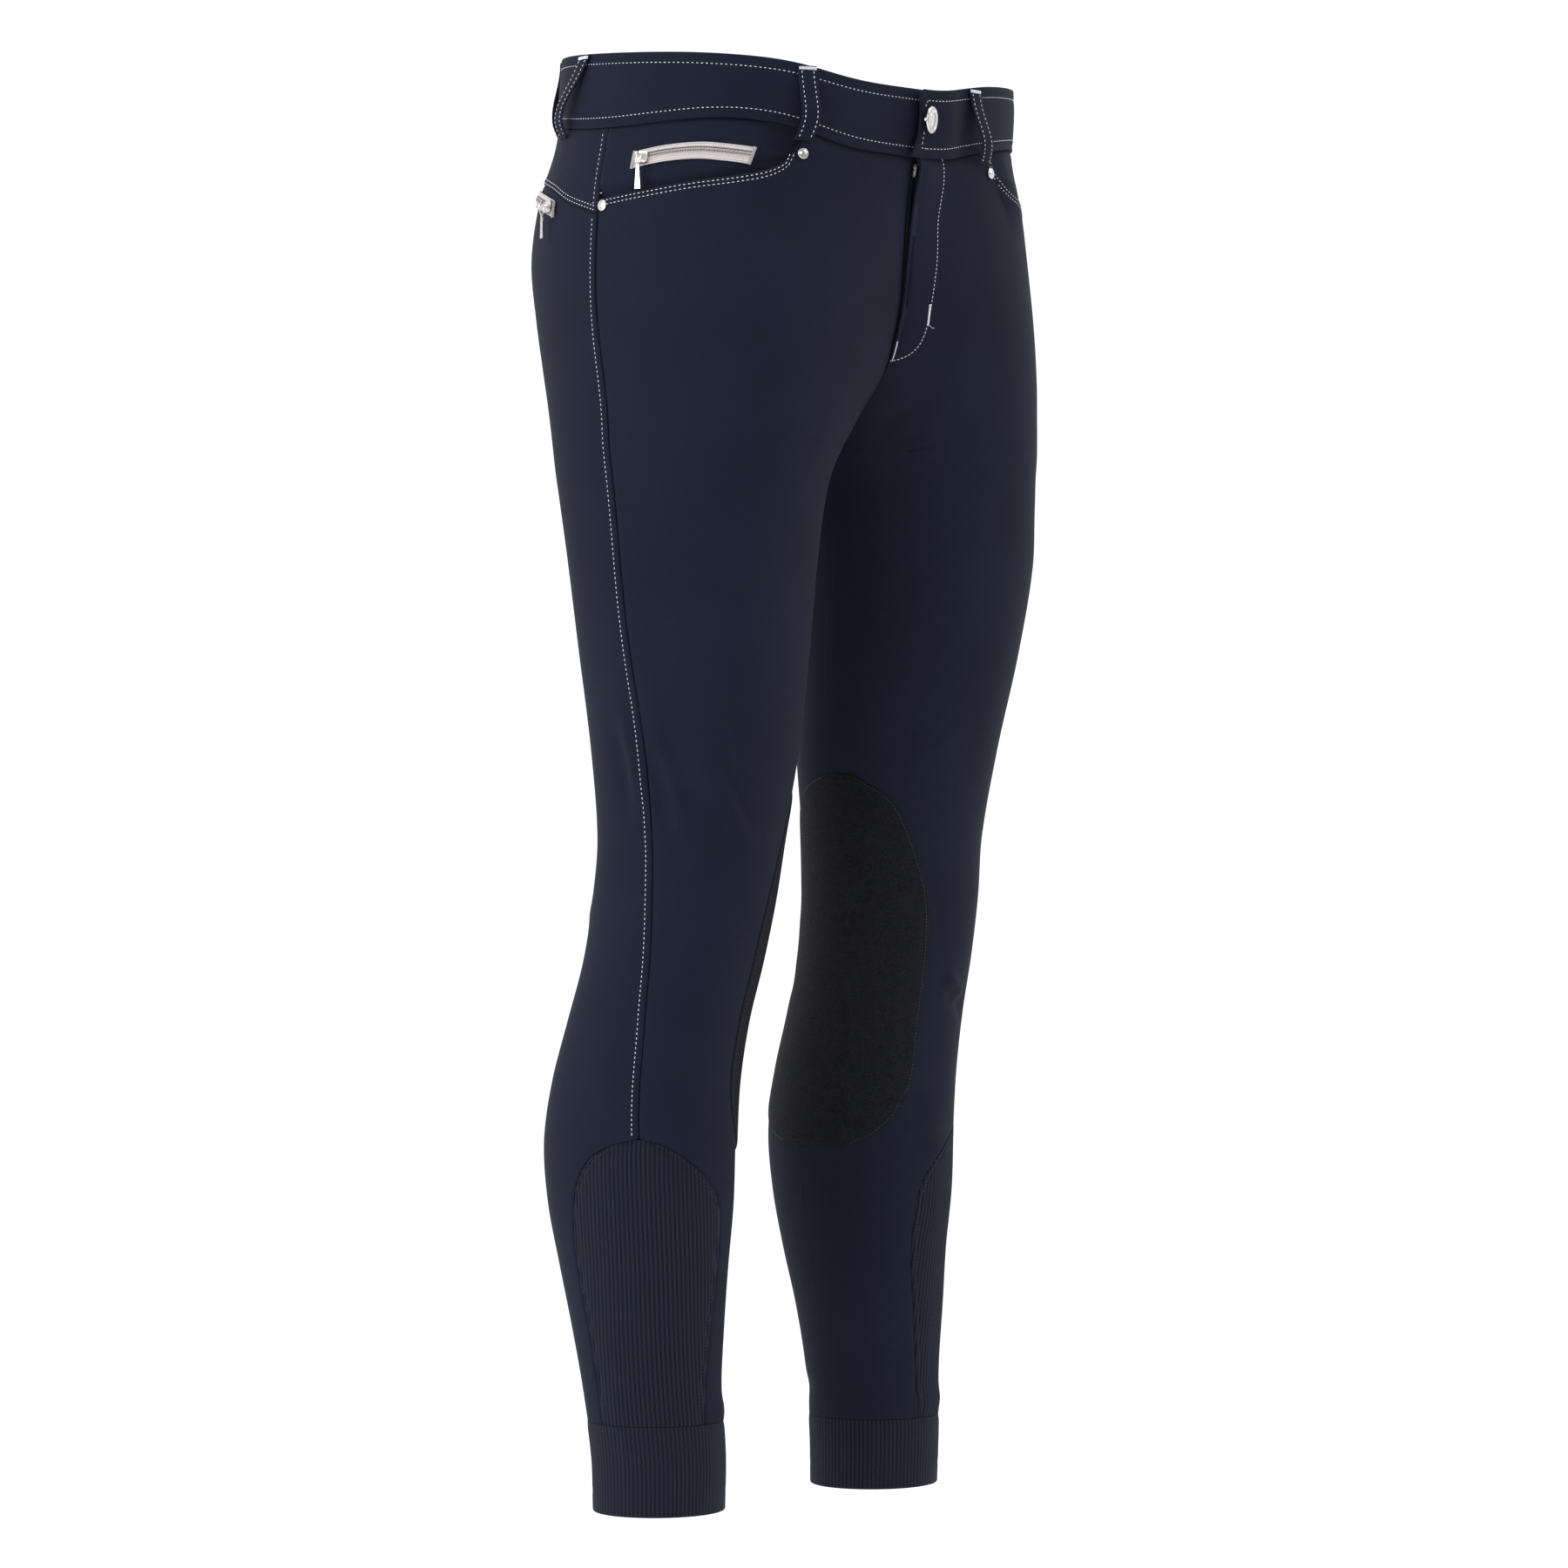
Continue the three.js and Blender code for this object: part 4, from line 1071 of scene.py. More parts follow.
class Sewing:
    """Lays stitches, bartacks and thread tails on the cloth, and joins them into one piece."""

    PITCH = 3.1
    LENGTH = 1.5
    THICKNESS = 0.27
    SINK = 0.03
    FLATNESS = 0.8
    TACK_LIFT = 0.2
    TACK_THICKNESS = 0.3
    OVERLAP = 1.25
    SIDES = 5
    GRAIN = ((0.35, -0.5), (0.88, -0.34), (1.0, 0.0), (0.88, 0.34), (0.35, 0.5))

    points: np.ndarray | None = None
    faces: list[tuple[int, ...]] = []

    def __init__(self, name: str) -> None:
        """Starts an empty group of sewing, and models the one stitch that all groups repeat."""
        self.name = name
        self.laid: list[np.ndarray] = []
        if Sewing.points is None:
            stitch = BENCH.turned("stitch", self.GRAIN, self.SIDES)
            Sewing.points = np.array([vertex.co.zxy for vertex in stitch.data.vertices])
            Sewing.faces = [tuple(face.vertices) for face in stitch.data.polygons]
            bpy.data.objects.remove(stitch)

    def one(self, middle: np.ndarray, along: np.ndarray, out: np.ndarray, length: float,
            thickness: float) -> None:
        """Lays one stitch.

        Args:
            middle: Its middle, in millimetres.
            along: The way it runs.
            out: The way out of the cloth.
            length: Its length.
            thickness: Half its width.
        """
        along = along / np.linalg.norm(along)
        across = np.cross(out, along)
        across /= np.linalg.norm(across)
        up = np.cross(along, across)
        depth = thickness * self.FLATNESS
        turn = np.stack([along * length, across * thickness, up * depth], axis=1)
        self.laid.append(middle + Sewing.points @ turn.T)

    def row(self, line: np.ndarray, outs: np.ndarray, pitch: float = PITCH,
            length: float = LENGTH, thickness: float = THICKNESS) -> None:
        """Lays an even row of stitches along a line.

        Args:
            line: Points of the line on the cloth, in millimetres.
            outs: The way out of the cloth at each point.
            pitch: From stitch to stitch.
            length: Each stitch's length.
            thickness: Half each stitch's width.
        """
        at = distances(line)
        count = max(1, int(at[-1] / pitch))
        for k in range(count):
            middle = (k + 0.5) * at[-1] / count
            back, here, ahead = (
                read_at(middle + share * length, at, line) for share in (-0.5, 0, 0.5)
            )
            out = read_at(middle, at, outs)
            place = here + out * (thickness * 0.5 - self.SINK)
            self.one(place, ahead - back, out, length, thickness)

    def bartack(self, line: np.ndarray, outs: np.ndarray, width: float = 2.2,
                pitch: float = 0.5) -> None:
        """Lays close stitches across a short line.

        Args:
            line: Points of the tack's own line, in millimetres.
            outs: The way out of the cloth at each point.
            width: The tack's width.
            pitch: From stitch to stitch.
        """
        at = distances(line)
        ways = np.gradient(line, axis=0)
        for along in np.arange(0, at[-1] + 1e-6, pitch):
            middle, way, out = (read_at(along, at, rows) for rows in (line, ways, outs))
            across = np.cross(out, way)
            self.one(middle + out * self.TACK_LIFT, across, out, width, self.TACK_THICKNESS)

    def tail(
        self, start: np.ndarray, ways: Sequence[Sequence[float]], thickness: float = 0.2
    ) -> None:
        """Lays a loose thread end as short overlapping lengths.

        Args:
            start: Where it leaves the sewing.
            ways: One step after another, in millimetres.
            thickness: Half the thread's width.
        """
        place = np.array(start, float)
        for way in ways:
            step = np.array(way, float)
            side = np.cross(step, (0.3, 0.5, 0.8))
            self.one(place + step / 2, step, side / np.linalg.norm(side),
                     np.linalg.norm(step) * self.OVERLAP, thickness)
            place = place + step

    def finish(self, material: Material) -> Piece:
        """Joins all that was laid into one piece."""
        count = len(Sewing.points)
        points = np.concatenate(self.laid) * MM
        faces = [
            tuple(corner + count * k for corner in face)
            for k in range(len(self.laid)) for face in Sewing.faces
        ]
        mesh = bpy.data.meshes.new(self.name)
        mesh.from_pydata(points.tolist(), [], faces)
        mesh.update()
        piece = bpy.data.objects.new(self.name, mesh)
        bpy.context.scene.collection.objects.link(piece)
        BENCH.shade(piece)
        return finish_piece(piece, material)


@dataclass
class Ground:
    """A piece's outer face as sewing sees it: a side and the lift at places."""

    side: Side
    lift: Lift

    def line(self, places: np.ndarray) -> tuple[np.ndarray, np.ndarray]:
        """Points on the cloth and the ways out at places of around and height."""
        around, height = places[:, 0], places[:, 1]
        points = FORM.lifted(self.side, around, height, self.lift(around, height))
        return points, FORM.out(self.side, around, height)

    def beside(self, places: np.ndarray, distance: float) -> np.ndarray:
        """A line beside another, on its left when seen from outside.

        Args:
            places: Rows of around and height.
            distance: How far beside, in millimetres.

        Returns:
            Rows of around and height.
        """
        per = FORM.per_around(self.side, places[:, 0], places[:, 1])
        along = np.gradient(places, axis=0) * np.stack([per, np.ones_like(per)], axis=1)
        along /= np.linalg.norm(along, axis=1, keepdims=True)
        moved = np.stack([-along[:, 1] / per, along[:, 0]], axis=1) * distance
        return places + moved


def dense(places: Sequence[Sequence[float]], count: int = 160) -> np.ndarray:
    """A smooth line through a few places, as many places.

    Args:
        places: Rows of around and height.
        count: How many places the line gets.

    Returns:
        Rows of around and height.
    """
    known = np.array(places, float)
    usual_per_around = 100.0
    at = distances(known * [usual_per_around, 1.0])
    fine = np.linspace(0, at[-1], count)
    rows = Rows("at around height", np.column_stack([at, known]))
    return np.column_stack([rows.curve("around", fine), rows.curve("height", fine)])


def build_panel(
    panel: "Front | Back", borders: tuple[np.ndarray, np.ndarray], heights: np.ndarray,
    shares: np.ndarray, trunk: np.ndarray,
) -> None:
    """Builds a front or a back, whose trunk rows follow its own top edge.

    Args:
        panel: The panel, which knows its top edge and lift.
        borders: Where each row starts and ends around.
        heights: Each row's usual height.
        shares: Shares across the panel.
        trunk: Shares down the trunk.
    """
    side = panel.side
    around, along = FORM.spread(side, *borders, heights, shares)
    grid = np.repeat(heights[:, None], around.shape[1], axis=1)
    grid[: len(trunk)] = mix(panel.top(around[: len(trunk)]), TRUNK_END, trunk[:, None])
    points = FORM.lifted(side, around, grid, panel.lift(around, grid))
    grain = np.stack([along, grid], axis=-1)
    node = f"{panel.NAME}_{side.word}"
    cloth_piece(node, side, points, grain, CLOTH, panel.finishes.twill_look)


@dataclass
class Front:
    """The front, with the slant pocket cut out of its top and, on the left, the fly's fold."""

    side: Side
    finishes: Finishes
    cut_flat: tuple[float, float] = (0.33, 0.9)
    cut_area: float = 0.15
    columns: int = 62
    usual_width: float = 235.0
    gape: float = 3.8
    gape_around: float = 1.40
    gape_spread: float = 0.1
    gape_depth: float = 30.0
    seam_dip: float = 0.8
    seam_width: float = 2.6
    hem_width: float = 5.4
    hem_rise: float = 0.35
    hem_step: float = 1.5
    pocket_rounding: float = 0.7
    waist_dip: float = 1.0
    waist_ease: float = 4.0
    top_row_height: float = -68.0
    pocket_rows: tuple[float, float] = (2.0, 4.6)
    pocket_row_end: float = 1.965

    NAME = "front"
    POCKET_ROW_START = {Side.RIGHT: 1.352, Side.LEFT: 1.328}
    THREAD_END = ((1.2, -1.2, -0.9), (1.4, -0.6, -1.2), (1.1, -0.2, 0.3))

    def top(self, around: np.ndarray) -> np.ndarray:
        """The front's top edge: the waist seam, and behind its start the pocket's edge."""
        start = LINES.on_pocket(self.side, POCKET_START)
        waist = LINES.waist_seam(self.side, around) - SEAM / 2
        on_pocket = np.minimum(waist, LINES.pocket_edge(self.side, around))
        return np.where(around > start, on_pocket, waist)

    def lift(self, around: np.ndarray, height: np.ndarray) -> np.ndarray:
        """How far the front stands off its form."""
        side = self.side
        points = FORM.point(side, around, height)
        total = creased(side, points)
        if side is Side.LEFT:
            inward = (FLY_WIDTH - points[..., 0]) / FLY_WIDTH
            fold = FLY_EDGE.line("lift", height) * smooth(inward)
            total = total + np.where(height > FLY_EDGE.keys[0], fold, 0)
        below = self.top(around) - height
        open_place = LINES.on_pocket(side, self.gape_around)
        spread = np.exp(-(((around - open_place) / self.gape_spread) ** 2))
        total = total + self.gape * smooth(1 - below / self.gape_depth) * spread
        per = FORM.per_around(side, np.minimum(around, READ_END), height)
        from_seam = (LINES.front_border(height) - around) * per
        total = total - self.seam_dip * smooth(1 - from_seam / self.seam_width)
        start = LINES.on_pocket(side, POCKET_START)
        on_pocket = around > start + 0.01
        hem = self.hem_rise * smooth((self.hem_width - below) / self.hem_step)
        total = total + np.where(on_pocket, hem - round_edge(below, self.pocket_rounding), 0)
        dip = self.waist_dip * smooth(1 - below / self.waist_ease)
        return total - np.where(on_pocket, 0, dip)

    def build(self) -> None:
        """Builds the front from its waist or pocket edge to the cuff."""
        side = self.side
        shares = edge_spaced(self.columns, self.usual_width, (0, 0.5, 1.2, 2.2, 3.6))
        corner = LINES.on_pocket(side, POCKET_START) / 2
        shares = np.unique(np.concatenate([shares, corner + np.linspace(-0.004, 0.045, 16)]))
        trunk, lower = trunk_shares(30), leg_heights(side)
        heights, first, last = (
            np.concatenate([mix(top, TRUNK_END, trunk), lower])
            for top in (-75.0, float(self.top(np.array(0.0))), float(self.top(np.array(2.0))))
        )
        start = np.where(first > CROTCH, 0.0, SEAM_AROUND)
        if side is Side.LEFT:
            past = np.minimum(0, FORM.around_of(-FLY_EDGE.line("reach", first), first))
            start = start + np.where(first > FLY_EDGE.keys[0], past, 0)
        border = LINES.front_border(last) - SEAM_AROUND
        build_panel(self, (start, border), heights, shares, trunk)

    def sew(self) -> None:
        """Sews the pocket's two rows, and on the left the fly's curved row with its tacks."""
        side = self.side
        ground = Ground(side, self.lift)
        sewing = Sewing(f"stitches_front_{side.word}")
        first = LINES.on_pocket(side, self.POCKET_ROW_START[side])
        around = np.linspace(first, self.pocket_row_end, 220)
        line = as_places(around, LINES.pocket_edge(side, around))
        if side is Side.RIGHT:
            heights = np.linspace(self.top_row_height, line[0, 1] + 0.5, 6)[:-1]
            line = np.concatenate([as_places(first, heights), line])
        for distance in self.pocket_rows:
            sewing.row(*ground.line(ground.beside(line, -distance)))
        if side is Side.LEFT:
            self.sew_fly(ground, sewing)
        sewing.finish(self.finishes.thread)

    def sew_fly(self, ground: Ground, sewing: Sewing) -> None:
        """Sews the fly's curved row, its two tacks and the loose end at the upper one."""
        fly, tack, foot = (
            [(float(FORM.around_of(x, z)), z) for x, z in line]
            for line in (FLY_STITCH, self.tack_line((19.4, -157), (19.4, -170)),
                         self.tack_line((-3.2, -181), (-0.9, -193)))
        )
        sewing.row(*ground.line(dense(fly)), pitch=2.6)
        for line, width in ((tack, 1.5), (foot, 1.9)):
            sewing.bartack(*ground.line(np.array(line)), width=width)
        end, _ = ground.line(np.array(tack[-1:]))
        sewing.tail(end[0], self.THREAD_END)

    def tack_line(
        self, start: tuple[float, float], finish: tuple[float, float]
    ) -> list[tuple[float, float]]:
        """A tack's line, as distances from the middle plane and heights."""
        steps = 9
        columns = (np.linspace(a, b, steps) for a, b in zip(start, finish))
        return list(zip(*columns))


@dataclass
class Back:
    """The back, from the yoke seam to the cuff, topstitched along the side seam."""

    side: Side
    finishes: Finishes
    cut_flat: tuple[float, float] = (0.36, 0.9)
    cut_area: float = 0.185
    columns: int = 66
    usual_width: float = 265.0
    seam_dip: float = 0.8
    seam_width: float = 1.6
    welt_width: float = 5.2
    welt_rise: float = 0.35
    welt_step: float = 1.2
    yoke_dip: float = 0.6
    yoke_ease: float = 2.2
    closing_sink: float = 0.7

    NAME = "back"

    def top(self, around: np.ndarray) -> np.ndarray:
        """The seam under the yoke."""
        return YOKE_SEAM.curve("height", around) - SEAM / 2

    def lift(self, around: np.ndarray, height: np.ndarray) -> np.ndarray:
        """How far the back stands off its form."""
        side = self.side
        total = creased(side, FORM.point(side, around, height))
        per = FORM.per_around(side, np.minimum(around, READ_END), height)
        from_seam = (around - LINES.back_border(height)) * per
        welt = self.welt_rise * smooth((self.welt_width - from_seam) / self.welt_step)
        total = total + np.where(height > INSERT_TOP, welt, 0)
        total = total - self.seam_dip * smooth(1 - from_seam / self.seam_width)
        below = self.top(np.maximum(around, 2.0)) - height
        return total - self.yoke_dip * smooth(1 - below / self.yoke_ease)

    def build(self) -> None:
        """Builds the back."""
        side = self.side
        shares = edge_spaced(self.columns, self.usual_width, (0, 0.4, 0.9, 1.7, 3.6, 5.4, 7.2))
        trunk = trunk_shares(26)
        heights = np.concatenate([mix(-80.0, TRUNK_END, trunk), leg_heights(side)])
        start = LINES.back_border(heights) + SEAM_AROUND
        finish = np.where(heights > CROTCH, 4.0, 4 - SEAM_AROUND)
        build_panel(self, (start, finish), heights, shares, trunk)

    def sew(self) -> None:
        """Sews the one row behind the side seam, and closes the seat seam from the right."""
        side = self.side
        ground = Ground(side, self.lift)
        heights = np.linspace(-106, INSERT_TOP + 2, 260)
        seam = as_places(SIDE_SEAM.curve("around", heights), heights)
        sewing = Sewing(f"stitches_side_{side.word}")
        sewing.row(*ground.line(ground.beside(seam, SIDE_ROW)))
        sewing.finish(self.finishes.thread)
        if side is Side.RIGHT:
            heights = np.linspace(-84, CROTCH + 1, 120)
            line, outs = ground.line(as_places(4.0, heights))
            closing = Sewing("stitches_seat_seam")
            line = line - outs * self.closing_sink
            closing.row(line, outs, pitch=1.0, length=1.6, thickness=0.5)
            closing.finish(self.finishes.dark_thread)


@dataclass
class Yoke:
    """The yoke between the waistband and the back, sewn down with two rows."""

    side: Side
    finishes: Finishes
    cut_flat: tuple[float, float] = (0.26, 0.062)
    cut_area: float = 0.0105
    columns: int = 66
    usual_width: float = 250.0
    hem_width: float = 6.0
    hem_rise: float = 0.5
    hem_step: float = 1.4
    hem_rounding: float = 0.6
    welt_width: float = 5.2
    welt_rise: float = 0.3
    welt_step: float = 1.2
    seam_dip: float = 0.8
    seam_width: float = 1.6
    waist_dip: float = 1.0
    waist_ease: float = 4.0
    rows_above: tuple[float, float] = (1.6, 4.2)
    grain_per_around: float = 120.0

    def bottom(self, around: np.ndarray) -> np.ndarray:
        """The yoke's lower edge."""
        return YOKE_SEAM.curve("height", around) + SEAM / 2

    def lift(self, around: np.ndarray, height: np.ndarray) -> np.ndarray:
        """How far the yoke stands off its form."""
        side = self.side
        per = FORM.per_around(side, np.minimum(around, READ_END), height)
        from_side = (around - 2) * per
        above = height - self.bottom(np.maximum(around, 2.0))
        below = LINES.waist_seam(side, around) - height
        hem = self.hem_rise * smooth((self.hem_width - above) / self.hem_step)
        welt = self.welt_rise * smooth((self.welt_width - from_side) / self.welt_step)
        seam = self.seam_dip * smooth(1 - from_side / self.seam_width)
        total = hem - round_edge(above, self.hem_rounding) + welt - seam
        return total - self.waist_dip * smooth(1 - below / self.waist_ease)

    def build(self) -> None:
        """Builds the yoke."""
        side = self.side
        shares = edge_spaced(self.columns, self.usual_width, (0, 0.4, 0.9, 1.7, 3.6, 5.4))
        around = mix(2 + SEAM_AROUND, 4.0, shares)[None, :]
        rows = np.concatenate([[0, 0.02, 0.05, 0.1], np.linspace(0.16, 0.84, 9),
                               [0.9, 0.94, 0.97, 0.985, 1]])[:, None]
        top = LINES.waist_seam(side, around) - SEAM / 2
        height = mix(top, self.bottom(around), rows)
        around = np.repeat(around, len(rows), axis=0)
        points = FORM.lifted(side, around, height, self.lift(around, height))
        grain = np.stack([around * self.grain_per_around, height], axis=-1)
        look = self.finishes.twill_look
        cloth_piece(f"yoke_{side.word}", side, points, grain, CLOTH, look)

    def sew(self) -> None:
        """Sews two rows above the yoke seam and the side row's upper end."""
        side = self.side
        ground = Ground(side, self.lift)
        sewing = Sewing(f"stitches_yoke_{side.word}")
        around = np.linspace(2.01, 3.985, 300)
        for above in self.rows_above:
            sewing.row(*ground.line(as_places(around, self.bottom(around) + above)))
        heights = np.linspace(float(LINES.waist_seam(side, np.array(2.0))) - 3, -98, 40)
        sewing.row(*ground.line(ground.beside(as_places(2.0, heights), SIDE_ROW)))
        sewing.finish(self.finishes.thread)


@dataclass
class PocketFacing:
    """The hip piece that shows in the pocket's opening and carries the coin zip."""

    side: Side
    finishes: Finishes
    dip: float = 3.8
    tuck: float = 20.0

    def lift(self, around: np.ndarray, height: np.ndarray) -> np.ndarray:
        """How far the facing dips under the front's edge."""
        side = self.side
        above = (height - LINES.pocket_edge(side, around) - 1) / 8
        behind = (around - LINES.on_pocket(side, 1.35)) / 0.12
        return -self.dip * smooth(1 - np.minimum(above, behind))

    def folds(self, around: np.ndarray, height: np.ndarray) -> np.ndarray:
        """Small drag folds that run from the front rivet under the coin zip."""
        place = 2 - (2 - around) / POCKET_REACH[self.side]
        ripple = np.sin((height + 71 + 14 * (place - 1.45)) / 1.9)
        reach = np.exp(-(((place - 1.42) / 0.09) ** 2)) * np.exp(-(((height + 73) / 8) ** 2))
        return 0.8 * ripple * reach

    def build(self) -> None:
        """Builds the facing."""
        side = self.side
        first = LINES.on_pocket(side, 1.22)
        around = mix(first, 2.0, np.linspace(0, 1, 70))[None, :]
        edge = LINES.pocket_edge(side, around)
        top = LINES.waist_seam(side, around) - SEAM / 2
        rows = np.linspace(0, 1, 30)[:, None]
        height = mix(top, edge - self.tuck, rows)
        around = np.minimum(around, LINES.front_border(height) - SEAM_AROUND)
        dip = self.lift(around, height) + self.folds(around, height)
        under = -1.0 * smooth(1 - (top - height) / 4)
        points = FORM.lifted(side, around, height, dip + under)
        along = np.stack([around * 110, height], axis=-1)
        look = self.finishes.twill_look
        cloth_piece(f"pocket_facing_{side.word}", side, points, along, CLOTH, look)


@dataclass
class Waistband:
    """One half of the waistband; the left end laps over the right one and stands off it."""

    side: Side
    finishes: Finishes
    overlap: float = 10.0
    underlap: float = 16.0
    overlap_lift: float = OVERLAP_LIFT
    overlap_ease: float = 40.0
    overlap_flat: float = 14.0
    corner: float = 5.0
    belly: float = 0.9
    top_row: float = 7.0
    bottom_row: float = 6.5

    def end(self) -> float:
        """Where the half starts around."""
        reach = -self.overlap if self.side is Side.LEFT else -self.underlap
        return float(FORM.around_of(reach, LINES.READ_HEIGHT))

    def top(self, around: np.ndarray) -> np.ndarray:
        """The top edge, with a round corner at the left end."""
        edge = LINES.top_edge(self.side, around)
        if self.side is Side.LEFT:
            per = FORM.per_around(self.side, around, np.full(np.shape(around), LINES.READ_HEIGHT))
            edge = edge - round_edge((around - self.end()) * per, self.corner)
        return edge

    def lift(self, around: np.ndarray, height: np.ndarray) -> np.ndarray:
        """How far the band stands off its form, with its rolled edges and sewn hollows."""
        side = self.side
        below = LINES.top_edge(side, around) - height
        above = BAND_HEIGHT - below
        total = BAND_LIFT + self.belly * np.sin(math.pi * clamp01(below / BAND_HEIGHT))
        if side is Side.LEFT:
            middle = FORM.point(side, around, height)[..., 0]
            span = self.overlap_ease - self.overlap_flat
            off = self.overlap_lift * smooth((self.overlap_ease - middle) / span)
            total = total + np.where(around < 2, off, 0)
            per = FORM.per_around(side, around, height)
            total = total - round_edge((around - self.end()) * per, 1.1)
        total = total - round_edge(below, 1.1) - round_edge(above, 1.0)
        sewn = np.exp(-(((below - self.top_row) / 1.5) ** 2))
        sewn = sewn + np.exp(-(((above - self.bottom_row) / 1.5) ** 2))
        return total - 0.4 * sewn

    def build(self) -> None:
        """Builds the half."""
        side = self.side
        close = np.array([0, 0.3, 0.8, 1.6, 2.6, 4.0, 6.0]) / 420
        shares = np.concatenate([close, np.linspace(0.018, 1, 130)])
        around, along = FORM.spread(side, np.array([self.end()]), np.array([4.0]),
                                    np.array([LINES.READ_HEIGHT]), shares)
        rows = np.concatenate([[0, 0.008, 0.02, 0.04], np.linspace(0.07, 0.93, 25),
                               [0.96, 0.98, 0.992, 1]])[:, None]
        top = self.top(around)
        bottom = LINES.waist_seam(side, around) + SEAM
        height = mix(top, bottom, rows)
        around = np.repeat(around, len(rows), axis=0)
        points = FORM.lifted(side, around, height, self.lift(around, height))
        grain = np.stack([np.repeat(along, len(rows), axis=0), height], axis=-1)
        look = self.finishes.twill_look
        cloth_piece(f"waistband_{side.word}", side, points, grain, BAND_CLOTH, look)

    def sew(self) -> None:
        """Sews the two long rows, which meet round the end of the left half."""
        side = self.side
        ground = Ground(side, self.lift)
        sewing = Sewing(f"stitches_waistband_{side.word}")
        around = np.linspace(self.end() + 0.012, 3.995, 420)
        if side is Side.LEFT:
            per = float(FORM.per_around(side, np.array(0.02), np.array(-20.0)))
            inset = self.end() + 5.2 / per
            around = np.linspace(inset, 3.995, 420)
            per_row = FORM.per_around(side, around, np.full(420, -20.0))
            drop = round_edge((around - inset) * per_row, 5.0)
            top = LINES.top_edge(side, around) - self.top_row - drop
            foot = float(LINES.waist_seam(side, around[:1])[0]) + self.bottom_row
            down = np.linspace(foot + 11.0, foot + 1.5, 12)
            sewing.row(*ground.line(as_places(inset, down)))
        else:
            top = LINES.top_edge(side, around) - self.top_row
        sewing.row(*ground.line(as_places(around, top)))
        bottom = LINES.waist_seam(side, around) + self.bottom_row
        sewing.row(*ground.line(as_places(around, bottom)))
        sewing.finish(self.finishes.thread)


@dataclass
class BeltLoop:
    """A belt loop that bulges off the band between its two sewn ends."""

    name: str
    side: Side
    top_around: float
    bottom_around: float
    ground: float
    bulge: float
    finishes: Finishes
    width: float = 12.5
    cloth: float = 1.4
    sag: float = 1.7
    below_edge: float = 1.0
    below_seam: float = 7.0
    foot: float = 0.2

    def frame_at(self, share: np.ndarray, across: np.ndarray, raise_by: float = 0.0) -> np.ndarray:
        """Points of the loop's outer face.

        Args:
            share: How far down the loop, from 0 to 1.
            across: Places across it, from -1 to 1.
            raise_by: How far off its outer face, in millimetres.

        Returns:
            Points in millimetres.
        """
        side = self.side
        around = mix(self.top_around, self.bottom_around, share)
        first = float(LINES.top_edge(side, np.array(self.top_around))) - self.below_edge
        last = float(LINES.waist_seam(side, np.array(self.bottom_around))) - self.below_seam
        height = mix(first, last, share)
        half = self.width / 2 / FORM.per_around(side, around, height)
        on_foot = smooth((share - 1 + self.foot) / self.foot)
        rest = mix(BAND_LIFT + 0.5, self.ground, on_foot) + LAY + self.cloth
        crown = 0.45 * (1 - across**2)
        lift = rest + self.bulge * np.sin(math.pi * share**self.sag) + crown + raise_by
        return FORM.lifted(side, around + across * half, height, lift)

    def build(self) -> None:
        """Builds the loop."""
        shares = np.concatenate([[0, 0.012, 0.03], np.linspace(0.06, 0.94, 26), [0.97, 0.988, 1]])
        across = np.array([-1, -0.97, -0.9, -0.7, -0.35, 0, 0.35, 0.7, 0.9, 0.97, 1.0])
        share_grid, across_grid = np.meshgrid(shares, across, indexing="ij")
        points = self.frame_at(share_grid, across_grid)
        edge = round_edge((1 - np.abs(across_grid)) * self.width / 2, 0.55)
        points = points - FORM.out(self.side, mix(self.top_around, self.bottom_around, share_grid),
                                   np.full(share_grid.shape, -30.0)) * edge[..., None]
        along = np.stack([across_grid * self.width / 2, share_grid * 55], axis=-1)
        look = self.finishes.twill_look
        cloth_piece(f"belt_loop_{self.name}", self.side, points, along, self.cloth, look)

    def sew(self) -> None:
        """Sews two long rows and the tack across the top."""
        sewing = Sewing(f"stitches_loop_{self.name}")
        shares = np.linspace(0.05, 0.97, 60)
        for across in (-0.62, 0.62):
            line = self.frame_at(shares, np.full(60, across))
            outs = FORM.out(self.side, mix(self.top_around, self.bottom_around, shares),
                            np.full(60, -30.0))
            sewing.row(line, outs)
        across = np.linspace(-0.92, 0.92, 9)
        line = self.frame_at(np.full(9, 0.032), across)
        outs = FORM.out(self.side, np.full(9, self.top_around), np.full(9, -30.0))
        sewing.bartack(line, outs, width=2.1, pitch=0.6)
        if self.name == "back_right":
            start = self.frame_at(np.array(0.3), np.array(1.0))
            sewing.tail(start, [(-1.4, 0.8, 1.6), (-0.9, 0.5, 1.8), (0.2, 0.2, 1.5)])
            end = self.frame_at(np.array(0.97), np.array(0.9))
            sewing.tail(end, [(-0.9, 0.5, -2.0), (-0.2, 0.3, -2.2)])
        sewing.finish(self.finishes.thread)


